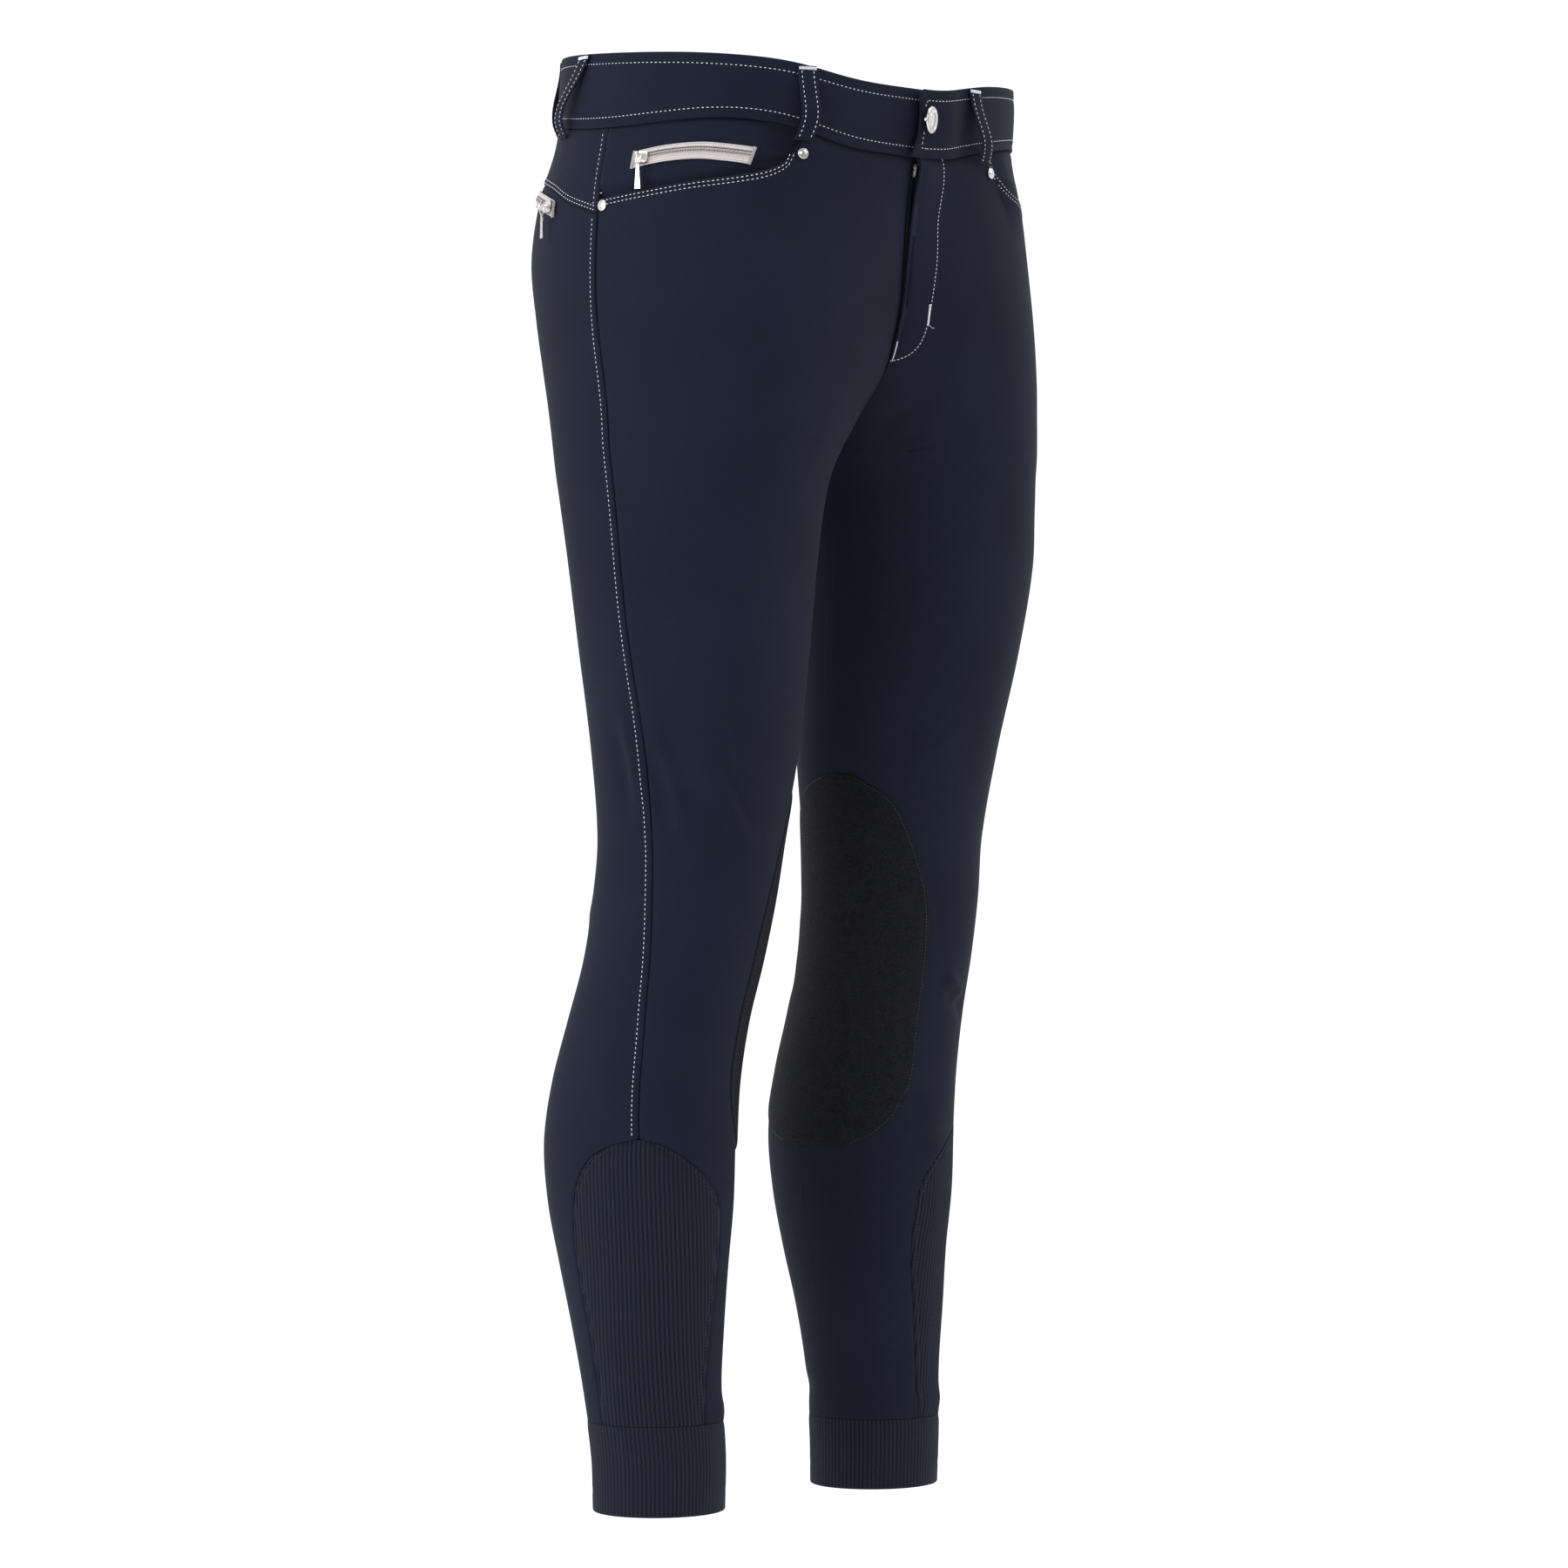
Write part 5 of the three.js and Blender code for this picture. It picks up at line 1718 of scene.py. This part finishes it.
@dataclass
class CalfInsert:
    """The ribbed elastic insert in the outer calf."""

    side: Side
    finishes: Finishes
    rib_pitch: float = 3.0
    rib_rise: float = 0.26
    middle: float = 1.53
    columns: int = 190

    def border(self, height: np.ndarray) -> tuple[np.ndarray, np.ndarray]:
        """Where the insert starts and ends around."""
        front = INSERT_BORDERS.line("front", height) + SEAM_AROUND
        back = INSERT_BORDERS.line("back", height) - SEAM_AROUND
        return front, back

    def lift(self, around: np.ndarray, height: np.ndarray) -> np.ndarray:
        """How far the insert stands off its form, without its ribs."""
        per = FORM.per_around(self.side, around, height)
        front, back = self.border(height)
        inside = np.minimum((around - front), (back - around)) * per
        inside = np.minimum(inside, (INSERT_TOP - height) * 1.6)
        total = creased(self.side, FORM.point(self.side, around, height))
        total = total - 0.9 * smooth(1 - inside / 1.6)
        return total - 0.45 * np.exp(-(((inside - 4.0) / 1.0) ** 2))

    def build(self) -> None:
        """Builds the insert with its raised ribs."""
        side = self.side
        heights = np.concatenate([
            [INSERT_TOP - 0.5], np.arange(INSERT_TOP - 1.5, INSERT_TURN, -1.3),
            np.arange(INSERT_TURN - 1, CUFF_TOP[side] + 2, -3.6),
            [CUFF_TOP[side] + 1, CUFF_TOP[side] + SEAM / 2],
        ])
        front, back = self.border(heights)
        shares = np.linspace(0, 1, self.columns)
        around, along = FORM.spread(side, front, back, heights, shares)
        middle = np.maximum(front + 0.001, self.middle)
        _, centre = FORM.spread(side, front, middle, heights, np.array([0.0, 1.0]))
        from_middle = along - centre[:, -1:]
        grid = np.repeat(heights[:, None], self.columns, axis=1)
        ribs = self.rib_rise * np.cos(math.tau * from_middle / self.rib_pitch)
        points = FORM.lifted(side, around, grid, self.lift(around, grid) + ribs)
        grain = np.stack([from_middle, grid], axis=-1)
        look = self.finishes.rib_look
        cloth_piece(f"calf_insert_{side.word}", side, points, grain, CLOTH, look)

    def sew(self) -> None:
        """Sews one navy row inside the insert's edge."""
        side = self.side
        ground = Ground(side, self.lift)
        sewing = Sewing(f"stitches_calf_insert_{side.word}")
        heights = np.concatenate([
            np.linspace(INSERT_TOP - 4.2, -712, 14), np.linspace(-713, -884, 90),
        ])
        front, back = self.border(heights)
        per = FORM.per_around(side, (front + back) / 2, heights)
        room = np.maximum((back - front) * per / 2 - 0.5, 0)
        inset = np.minimum(4.0, room) / per
        left = as_places(front + inset, heights)[::-1]
        right = as_places(back - inset, heights)
        sewing.row(*ground.line(np.concatenate([left, right])), pitch=2.4)
        sewing.finish(self.finishes.dark_thread)


@dataclass
class Cuff:
    """The elastic cuff round the ankle."""

    side: Side
    finishes: Finishes
    ribs: int = 96
    rib_rise: float = 0.16
    rib_pitch: float = 3.0

    def lift(self, height: np.ndarray) -> np.ndarray:
        """How far the cuff stands off its form, with a turned hem."""
        below = CUFF_TOP[self.side] - SEAM / 2 - height
        above = height - HEM
        total = 0.5 * smooth(below / 5) - round_edge(above, 1.5)
        return total - 0.2 * np.exp(-(((above - 14) / 1.2) ** 2))

    def build(self) -> None:
        """Builds the cuff as a tube with fine ribs."""
        side = self.side
        top = CUFF_TOP[side] - SEAM / 2
        columns = self.ribs * 4
        heights = np.concatenate([
            top - np.array([0, 0.5, 1.1, 2.0]), np.linspace(top - 3.5, HEM + 3, 16),
            HEM + np.array([1.6, 0.8, 0.3, 0]),
        ])
        shares = np.arange(columns) / columns
        around, _ = FORM.spread(side, np.zeros(len(heights)), np.full(len(heights), 4.0),
                                heights, shares)
        grid = np.repeat(heights[:, None], columns, axis=1)
        ribs = self.rib_rise * np.cos(math.tau * self.ribs * shares)[None, :]
        phase = np.broadcast_to(shares * self.ribs * self.rib_pitch, grid.shape)
        flat = smooth((grid - HEM) / 14 - 0.4)
        points = FORM.lifted(side, around, grid, self.lift(grid) + ribs * mix(0.5, 1.0, flat))
        grain = np.stack([phase, grid], axis=-1)
        flat = (0.27, round((top - HEM) * MM, 4))
        look = self.finishes.rib_look
        cloth_piece(f"cuff_{side.word}", side, points, grain, CLOTH, look, is_tube=True)


@dataclass
class KneePatch:
    """The grip patch across the inseam at the inner knee."""

    side: Side
    finishes: Finishes
    lay: float = 0.35
    cloth: float = 0.9

    def lift(self, around: np.ndarray, height: np.ndarray, inside: np.ndarray) -> np.ndarray:
        """How far the patch's outer face stands off the panels, with a sewn-down edge."""
        base = creased(self.side, FORM.point(self.side, around, height))
        rise = self.lay + self.cloth - 0.85 * smooth(1 - inside / 2.6)
        return base + rise - 0.3 * np.exp(-(((inside - 3.2) / 1.0) ** 2))

    def grid(
        self, heights: np.ndarray, shares: np.ndarray
    ) -> tuple[np.ndarray, np.ndarray, np.ndarray]:
        """Places around, distances along and distances from the patch's edge."""
        back = PATCH_BORDERS.curve("back", heights)
        front = PATCH_BORDERS.curve("front", heights)
        around, along = FORM.spread(self.side, back, front, heights, shares)
        width = along[:, -1:]
        sides = np.minimum(along, width - along)
        ends = np.minimum(PATCH_BORDERS.keys[-1] - heights, heights - PATCH_BORDERS.keys[0])
        return around, along, np.minimum(sides, ends[:, None] * 1.4)

    def build(self) -> None:
        """Builds the patch."""
        side = self.side
        top, bottom = PATCH_BORDERS.keys[-1], PATCH_BORDERS.keys[0]
        heights = np.concatenate([
            top - np.array([0, 0.6, 1.4, 2.4, 3.6, 5, 6.6, 8.4, 10.4, 12.6, 15]),
            np.linspace(top - 18, bottom + 18, 74),
            bottom + np.array([15, 12.6, 10.4, 8.4, 6.6, 5, 3.6, 2.4, 1.4, 0.6, 0]),
        ])
        shares = edge_spaced(48, 110.0, (0, 0.7, 1.5, 2.6, 4.0))
        around, along, inside = self.grid(heights, shares)
        grid = np.repeat(heights[:, None], around.shape[1], axis=1)
        points = FORM.lifted(side, around, grid, self.lift(around, grid, inside))
        middle = along - along[:, -1:] / 2
        grain = np.stack([middle, grid], axis=-1)
        look = (self.finishes.grip, "grip_patch")
        cloth_piece(f"knee_patch_{side.word}", side, points, grain, self.cloth, look)

    def sew(self) -> None:
        """Sews one navy row round the patch, just inside its edge."""
        side = self.side
        heights = np.linspace(PATCH_BORDERS.keys[-1] - 2.6, PATCH_BORDERS.keys[0] + 2.6, 130)
        back = PATCH_BORDERS.curve("back", heights)
        front = PATCH_BORDERS.curve("front", heights)
        per = FORM.per_around(side, (back + front) / 2, heights)
        inset = np.minimum(3.0 / per, (front - back) / 2 - 0.02)
        places = np.concatenate([
            as_places(back + inset, heights)[::-1], as_places(front - inset, heights),
        ])
        around, height = places[:, 0], places[:, 1]
        lift = self.lift(around, height, np.full(len(places), 3.2))
        sewing = Sewing(f"stitches_knee_patch_{side.word}")
        line, outs = FORM.lifted(side, around, height, lift), FORM.out(side, around, height)
        sewing.row(line, outs, pitch=2.4)
        sewing.finish(self.finishes.dark_thread)


def seat(side: Side, around: float, height: float, lift: float) -> Matrix:
    """Where a hard piece sits on the cloth: its X level, its Z along the way out."""
    at, level = np.array(around), np.array(height)
    out = Vector(FORM.out(side, at, level))
    flat = Vector((-out.y, out.x, 0)).normalized()
    up = out.cross(flat)
    place = Vector(FORM.lifted(side, at, level, np.array(lift)) * MM)
    turn = Matrix((flat, up, out)).transposed().to_4x4()
    return Matrix.Translation(place) @ turn @ Matrix.Scale(MM, 4)


def put(piece: Piece, where: Matrix) -> None:
    """Moves a piece's mesh to its place, so that its object stays at the origin."""
    piece.data.transform(where)
    piece.data.update()


@dataclass
class Rivet:
    """A small domed rivet with a plain sunk ring."""

    name: str
    side: Side
    around: float
    height: float
    lift: float
    finishes: Finishes
    radius: float = 3.75

    def build(self) -> None:
        """Turns the rivet and seats it."""
        r = self.radius
        profile = [
            (r * 0.96, 0), (r, 0.15), (r, 0.6), (r * 0.965, 0.95), (r * 0.9, 1.2), (r * 0.8, 1.36),
            (r * 0.7, 1.3), (r * 0.62, 1.34), (r * 0.5, 1.55), (r * 0.34, 1.72), (r * 0.15, 1.82),
            (r * 0.03, 1.84),
        ]
        piece = BENCH.turned(f"rivet_{self.name}_{self.side.word}_cap", profile, 28)
        put(piece, seat(self.side, self.around, self.height, self.lift))
        BENCH.shade(piece, 0.9)
        node = f"rivet_{self.name}_{self.side.word}"
        finish_piece(piece, self.finishes.metal, [node])


@dataclass
class ShankButton:
    """The shank button on the waistband's left end."""

    finishes: Finishes
    radius: float = 9.0
    shank: float = 3.4
    from_middle: float = -4.5
    height: float = -39.0
    lift: float = BAND_LIFT + OVERLAP_LIFT + 1.15 + LAY
    turn: float = 0.33

    def build(self) -> None:
        """Turns the button: a shank, a rolled rim and a hollow crown with a low boss."""
        r, s = self.radius, self.shank
        profile = [
            (2.2, 0), (2.2, s - 0.3), (2.6, s - 0.05), (r - 0.9, s), (r - 0.25, s + 0.2), (r, s + 0.7),
            (r - 0.1, s + 1.2), (r - 0.6, s + 1.65), (r - 1.2, s + 1.75), (r - 1.8, s + 1.5),
            (r - 2.3, s + 1.25), (5.2, s + 1.2), (4.8, s + 1.45), (4.2, s + 1.7), (2.8, s + 1.95),
            (1.2, s + 2.05), (0.2, s + 2.08),
        ]
        piece = BENCH.turned("shank_button_cap", profile, 40)
        put(piece, Matrix.Rotation(self.turn, 4, "Y"))
        around = float(FORM.around_of(self.from_middle, self.height))
        put(piece, seat(Side.LEFT, around, self.height, self.lift))
        BENCH.shade(piece, 0.9)
        finish_piece(piece, self.finishes.metal, ["shank_button"])


@dataclass
class PocketZip:
    """A closed pocket zip: woven tape, a fine coil, end tacks, slider and hanging pull."""

    name: str
    side: Side
    rows: Rows
    slider_around: float
    slider_height: float
    ground: Lift
    finishes: Finishes
    width: float = 11.0
    cloth: float = 1.1
    tape_top: float = 0.8 + 1.1
    length: float = 9.5
    breadth: float = 8.0
    thick: float = 2.2
    arch_rise: float = 3.2
    ring_radius: float = 1.95
    ring_wire: float = 0.45
    link_stretch: float = 2.0
    link_depth: float = 0.88
    link_drop: float = 1.75
    link_out: float = 0.2
    pull_length: float = 15.6
    pull_width: float = 4.4
    pull_neck: float = 2.2
    pull_thick: float = 1.4

    def places(self, shares: np.ndarray, across: float) -> tuple[np.ndarray, np.ndarray]:
        """Places on the tape at shares along it and millimetres above its middle."""
        rows = self.rows
        around = mix(rows.keys[0], rows.keys[-1], shares)
        height = rows.curve("height", around) + across
        if self.name == "coin":
            around = LINES.on_pocket(self.side, around)
        return around, height

    def line(
        self, shares: np.ndarray, across: float, raise_by: float
    ) -> tuple[np.ndarray, np.ndarray]:
        """Points above the tape and the ways out there."""
        around, height = self.places(shares, across)
        lift = self.ground(around, height) + self.tape_top + raise_by
        return FORM.lifted(self.side, around, height, lift), FORM.out(self.side, around, height)

    def build_tape(self) -> None:
        """Builds the tape with a raised coil along its middle."""
        shares = np.linspace(0, 1, 90)
        across = np.array([-5.5, -5.3, -4.9, -3.8, -2.4, -1.9, -1.5, -0.8, -0.25, 0, 0.25, 0.8,
                           1.5, 1.9, 2.4, 3.8, 4.9, 5.3, 5.5])
        relief = np.interp(np.abs(across), [0, 0.3, 0.9, 1.6, 2.0, 4.9, 5.5],
                           [-0.15, 0.3, 0.5, 0.3, 0.0, 0.0, -0.35])
        points = np.stack([self.line(shares, a, r)[0] for a, r in zip(-across, relief)])
        along = distances(points[len(across) // 2])
        grain = np.stack(np.broadcast_arrays(along[None, :], across[:, None]), axis=-1)
        piece = sheet_mesh(f"{self.name}_zip_tape_{self.side.word}_cloth", self.side, points, grain,
                           self.cloth)
        finish_piece(piece, self.finishes.tape,
                     [f"{self.name}_zip_tape_{self.side.word}"])

    def build_coil(self) -> None:
        """Lays the coil's turns, the tape's own sewing and two dark rows of painted shadow by the
        coil, and tacks both ends.
        """
        coil = Sewing(f"{self.name}_zip_coil_{self.side.word}")
        shares = np.linspace(0.02, 0.98, 60)
        for across in (0.85, -0.85):
            line, _ = self.line(shares, across, 0.42)
            steps = np.linalg.norm(np.diff(line, axis=0), axis=1).sum()
            for share in np.linspace(0.02, 0.98, int(steps / 0.95)):
                here, out = self.line(np.array([share]), across, 0.42)
                ahead, _ = self.line(np.array([share + 0.004]), across, 0.42)
                way = np.cross(out[0], ahead[0] - here[0])
                coil.one(here[0], way, out[0], 1.5, 0.34)
        for across in (2.6, -2.6, 4.7, -4.7):
            coil.row(*self.line(shares, across, 0.0), pitch=1.5, length=1.15, thickness=0.2)
        # Two dark grey rows of painted shadow: one beside the coil and a dotted one down its middle.
        edges = Sewing(f"{self.name}_zip_furrows_{self.side.word}")
        edges.row(*self.line(shares, 1.9, 0.25), pitch=1.1, length=1.2, thickness=0.34)
        edges.row(*self.line(shares, -0.1, 0.62), pitch=1.7, length=0.9, thickness=0.34)
        edges.finish(self.finishes.painted_shadow_grey)
        for share in (0.006, 0.994):
            heights = np.linspace(-5.6, 5.6, 12)
            ends = [self.line(np.array([share]), across, 0.15) for across in heights]
            line = np.concatenate([point for point, _ in ends])
            outs = np.concatenate([out for _, out in ends])
            coil.bartack(line, outs, width=2.4)
        coil.finish(self.finishes.tape)

    def build_slider(self) -> None:
        """Models the slider: a waisted plate with rails and an arch."""
        name = f"{self.name}_zip_slider_{self.side.word}"
        plate = BENCH.block(name, (self.length, self.breadth, self.thick), (0, 0, self.thick / 2))
        BENCH.pick_edges(plate, lambda edge: abs((edge.verts[0].co - edge.verts[1].co).z) > 1)
        bpy.ops.mesh.bevel(offset=1.8, segments=4)
        BENCH.pick_faces(plate, lambda face: face.normal.x < -0.95)
        bpy.ops.transform.resize(value=(1, 0.8, 1))
        BENCH.pick_faces(plate, lambda face: face.normal.z > 0.95)
        BENCH.inset(1.0, -0.45)
        BENCH.inset(0.5, 0.25)
        BENCH.clear()
        BENCH.soften(plate, 0.25)
        arch = BENCH.ring(f"{name}_arch", self.arch_rise, 0.46, (math.pi / 2, 0, 0))
        BENCH.pick_faces(arch, lambda face: True)
        bpy.ops.mesh.bisect(
            plane_co=(0, 0, -0.6), plane_no=(0, 0, 1), use_fill=True, clear_inner=True
        )
        bpy.ops.mesh.select_all(action="SELECT")
        bpy.ops.transform.translate(value=(0, 0, self.thick - 0.05))
        BENCH.clear()
        piece = BENCH.join([plate, arch])
        piece.name = f"{name}_body"
        lift = self.rest()
        put(piece, seat(self.side, self.slider_around, self.slider_height, lift))
        BENCH.shade(piece, 0.7)
        finish_piece(piece, self.finishes.metal, [name])

    def rest(self) -> float:
        """How far the slider's underside stands off the form."""
        around, height = np.array(self.slider_around), np.array(self.slider_height)
        return float(self.ground(around, height)) + self.tape_top + LAY

    def build_pull(self) -> None:
        """Models the pull: a ring and a tapered bar with a sunk face."""
        name = f"{self.name}_zip_pull_{self.side.word}"
        ring = BENCH.ring(f"{name}_ring", self.ring_radius, self.ring_wire, (0, math.pi / 2, 0))
        BENCH.pick_faces(ring, lambda face: True)
        bpy.ops.transform.resize(value=(1, self.link_stretch, self.link_depth))
        bpy.ops.transform.translate(value=(0, -self.link_drop, self.link_out))
        BENCH.clear()
        top = -self.ring_radius * self.link_stretch - self.link_drop - 0.1
        size = (self.pull_width, self.pull_length, self.pull_thick)
        bar = BENCH.block(f"{name}_bar", size, (0, top - self.pull_length / 2, self.link_out))
        BENCH.pick_faces(bar, lambda face: face.normal.y > 0.9)
        bpy.ops.transform.resize(value=(self.pull_neck / self.pull_width, 1, 1))
        BENCH.pick_faces(bar, lambda face: face.normal.y > 0.9)
        bpy.ops.mesh.extrude_region_move(TRANSFORM_OT_translate={"value": (0, 0.5, 0)})
        bpy.ops.transform.resize(value=(0.75, 1, 0.8))
        for up in (1, -1):
            BENCH.pick_faces(bar, lambda face, up=up: face.normal.z * up > 0.9
                             and abs(face.calc_center_median().y - top) > 3)
            BENCH.inset(0.65, -0.22 * up)
        BENCH.clear()
        BENCH.soften(bar, 0.28)
        piece = BENCH.join([bar, ring])
        piece.name = f"{name}_bar"
        around, height = np.array(self.slider_around), np.array(self.slider_height)
        out = Vector(FORM.out(self.side, around, height))
        flat = Vector((-out.y, out.x, 0)).normalized()
        away = flat.cross(Vector((0, 0, 1)))
        turn = Matrix((flat, Vector((0, 0, 1)), away)).transposed().to_4x4()
        lift = self.rest() + self.thick + self.arch_rise
        place = FORM.lifted(self.side, around, height, np.array(lift)) * MM
        put(piece, Matrix.Translation(Vector(place)) @ turn @ Matrix.Scale(MM, 4))
        BENCH.shade(piece, 0.7)
        finish_piece(piece, self.finishes.metal, [name],
                     body=f"{self.name}_pull_{self.side.word}")

    def build(self) -> None:
        """Builds the whole zip."""
        self.build_tape()
        self.build_coil()
        self.build_slider()
        self.build_pull()


@dataclass
class FlyZip:
    """The fly zip, of which a black tape edge and a slider show under the flap."""

    finishes: Finishes
    top: float = 0.45 + 0.8
    cloth: float = 0.8
    heights: tuple[float, float] = (-66.0, -172.0)
    inner: float = 0.6
    outer: Rows = Rows("height reach", [
        [-66, 6], [-110, 5.6], [-128, 4.2], [-150, 3.0], [-172, 3.0],
    ])
    slider_at: tuple[float, float] = (3.5, -72.0)

    def build(self) -> None:
        """Builds the tape with its coil's edge, and the slider."""
        heights = np.linspace(*self.heights, 40)[:, None]
        across = np.array([0, 0.03, 0.08, 0.14, 0.2, 0.3, 0.5, 0.75, 0.95, 1.0])[None, :]
        x = mix(self.inner, self.outer.curve("reach", heights), across)
        around = FORM.around_of(x + 0 * heights, heights + 0 * x)
        height = heights + 0 * x
        roll = np.interp(across, [0, 0.1, 0.8, 0.9, 1], [0, 0.1, 0.25, 0.15, -0.2])
        points = FORM.lifted(Side.RIGHT, around, height, self.top + roll + 0 * heights)
        along = np.stack([x + 0 * heights, height], axis=-1)
        piece = sheet_mesh("fly_zip_tape_cloth", Side.RIGHT, points, along, self.cloth)
        finish_piece(piece, self.finishes.black_tape, ["fly_zip_tape"])
        name = "fly_zip_slider"
        body = BENCH.block(name, (6.4, 9.5, 1.8), (0, 0, 0.9))
        BENCH.pick_edges(body, lambda edge: abs((edge.verts[0].co - edge.verts[1].co).z) > 1)
        bpy.ops.mesh.bevel(offset=1.8, segments=4)
        BENCH.pick_faces(body, lambda face: face.normal.z > 0.95)
        BENCH.inset(0.9, -0.4)
        BENCH.inset(0.7, 0.6)
        BENCH.clear()
        BENCH.soften(body, 0.25)
        body.name = f"{name}_body"
        x, z = self.slider_at
        put(body, seat(Side.RIGHT, float(FORM.around_of(x, z)), z, self.top + LAY))
        BENCH.shade(body, 0.7)
        # The slider's darker nickel is partly painted shade under the flap.
        finish_piece(body, self.finishes.dark_shaded_metal, [name])


COIN_ZIP = Rows("around height", [
    [1.455, -70], [1.54, -68], [1.63, -66.6], [1.73, -67.6], [1.8, -69.4], [1.86, -71.5],
])
BACK_ZIP = Rows("around height", [
    [2.23, -97], [2.33, -91], [2.45, -86], [2.6, -83], [2.84, -81],
])
BELT_LOOPS = (
    ("front_right", Side.RIGHT, 1.335, 1.322, 1.5, 6.5),
    ("front_left", Side.LEFT, 1.12, 1.15, 1.5, 9.0),
    ("side_right", Side.RIGHT, 2.12, 2.26, 0.0, 7.0),
    ("side_left", Side.LEFT, 2.12, 2.26, 0.0, 7.0),
    ("back_right", Side.RIGHT, 2.55, 2.58, 0.0, 4.5),
    ("back_left", Side.LEFT, 2.55, 2.58, 0.0, 4.5),
)


@dataclass
class Half:
    """All pieces of one half of the breeches."""

    side: Side
    finishes: Finishes

    def build(self) -> None:
        """Builds the half's cloth, then its sewing and hard pieces."""
        side, finishes = self.side, self.finishes
        front, back, yoke = Front(side, finishes), Back(side, finishes), Yoke(side, finishes)
        facing, band = PocketFacing(side, finishes), Waistband(side, finishes)
        insert, patch = CalfInsert(side, finishes), KneePatch(side, finishes)
        for piece in (front, back, yoke, facing, band, insert, Cuff(side, finishes), patch):
            piece.build()
        for piece in (front, back, yoke, band, insert, patch):
            piece.sew()
        if side is Side.RIGHT:
            coin_around = float(LINES.on_pocket(side, 1.824))
            PocketZip("coin", side, COIN_ZIP, coin_around, -70.8, facing.lift, finishes).build()
        PocketZip("back", side, BACK_ZIP, 2.255, -95.3, lambda around, height: 0.0 * around,
                  finishes).build()
        rivet_around = float(LINES.on_pocket(side, 1.302))
        Rivet("front", side, rivet_around, -67.5, 0.7 + LAY, finishes).build()
        Rivet("side", side, 1.975, -99, LAY, finishes).build()


@dataclass
class Studio:
    """The pale floor, the soft light and the camera of the photograph's view."""

    target: Triple = (0.0, 0.007, -0.47)
    distance: float = 3.6
    azimuth: float = -45.0
    lens: float = 124.14
    floor: float = -1.04
    floor_radius: float = 4.0
    world: float = 1.12
    dim_towards: Triple = (-0.5, -0.866, 0.0)
    dim_share: float = 0.42

    def camera(self) -> None:
        """Sets the camera at the photograph's view."""
        data = bpy.data.cameras.new("camera")
        data.lens = self.lens
        data.sensor_width = 36.0
        data.clip_end = 200
        camera = bpy.data.objects.new("camera", data)
        bpy.context.scene.collection.objects.link(camera)
        a = math.radians(self.azimuth)
        back = Vector((math.sin(a), -math.cos(a), 0))
        camera.location = Vector(self.target) + back * self.distance
        camera.rotation_euler = (-back).to_track_quat("-Z", "Y").to_euler()
        bpy.context.scene.camera = camera

    def ground(self) -> None:
        """Lays the pale floor well below the hems, where the wearer would stand."""
        BENCH.clear()
        bpy.ops.mesh.primitive_circle_add(
            vertices=128, radius=self.floor_radius, fill_type="NGON", location=(0, 0, self.floor)
        )
        floor = BENCH.take("floor")
        shader = Shader("pale_floor")
        shader.set(roughness=0.9, specular_ior_level=0.1)
        cloudy = shader.noise(shader.place("Object"), 3, 2)
        colour = shader.blend(cloudy, (0.9, 0.9, 0.905), (0.93, 0.93, 0.935))
        shader.colour(colour)
        floor.data.materials.append(shader.material)

    def area(self, name: str, place: Triple, size: float, power: float) -> None:
        """Adds a soft light that looks at the garment."""
        data = bpy.data.lights.new(name, "AREA")
        data.shape = "SQUARE"
        data.size = size
        data.energy = power
        light = bpy.data.objects.new(name, data)
        light.location = place
        aim = Vector((0, 0, -0.45)) - Vector(place)
        light.rotation_euler = aim.to_track_quat("-Z", "Y").to_euler()
        bpy.context.scene.collection.objects.link(light)

    def light(self) -> None:
        """Lights the garment from a white room that is dimmer in front, and from both sides."""
        world = bpy.data.worlds.new("studio")
        world.use_nodes = True
        nodes, links = world.node_tree.nodes, world.node_tree.links
        background = nodes["Background"]
        background.inputs["Strength"].default_value = self.world
        way = nodes.new("ShaderNodeTexCoord")
        facing = nodes.new("ShaderNodeVectorMath")
        facing.operation = "DOT_PRODUCT"
        facing.inputs[1].default_value = self.dim_towards
        links.new(way.outputs["Generated"], facing.inputs[0])
        ramp = nodes.new("ShaderNodeValToRGB")
        ramp.color_ramp.elements[0].position = 0.1
        ramp.color_ramp.elements[0].color = (1, 1, 1, 1)
        ramp.color_ramp.elements[1].position = 0.75
        ramp.color_ramp.elements[1].color = (*(3 * [self.dim_share]), 1)
        links.new(facing.outputs["Value"], ramp.inputs["Fac"])
        links.new(ramp.outputs["Color"], background.inputs["Color"])
        bpy.context.scene.world = world
        self.area("key", (-3.3, 0.6, 0.5), 2.0, 54)
        self.area("fill", (1.7, -1.8, 1.6), 1.6, 27)
        self.area("front", (-2.4, -2.9, 1.6), 1.6, 30)
        self.area("top", (0.2, 0.1, 3.2), 2.0, 40)

    def build(self) -> None:
        """Builds the studio."""
        self.camera()
        self.ground()
        self.light()
        bpy.context.scene.view_settings.view_transform = "Standard"


def main() -> None:
    """Builds the studio, both halves, the loops and the fly, in order."""
    logging.basicConfig(level=logging.INFO, format="%(message)s")
    Studio().build()
    finishes = Finishes()
    for side in (Side.RIGHT, Side.LEFT):
        Half(side, finishes).build()
    for loop in (BeltLoop(*row, finishes) for row in BELT_LOOPS):
        loop.build()
        loop.sew()
    ShankButton(finishes).build()
    FlyZip(finishes).build()


if __name__ == "__main__":
    main()
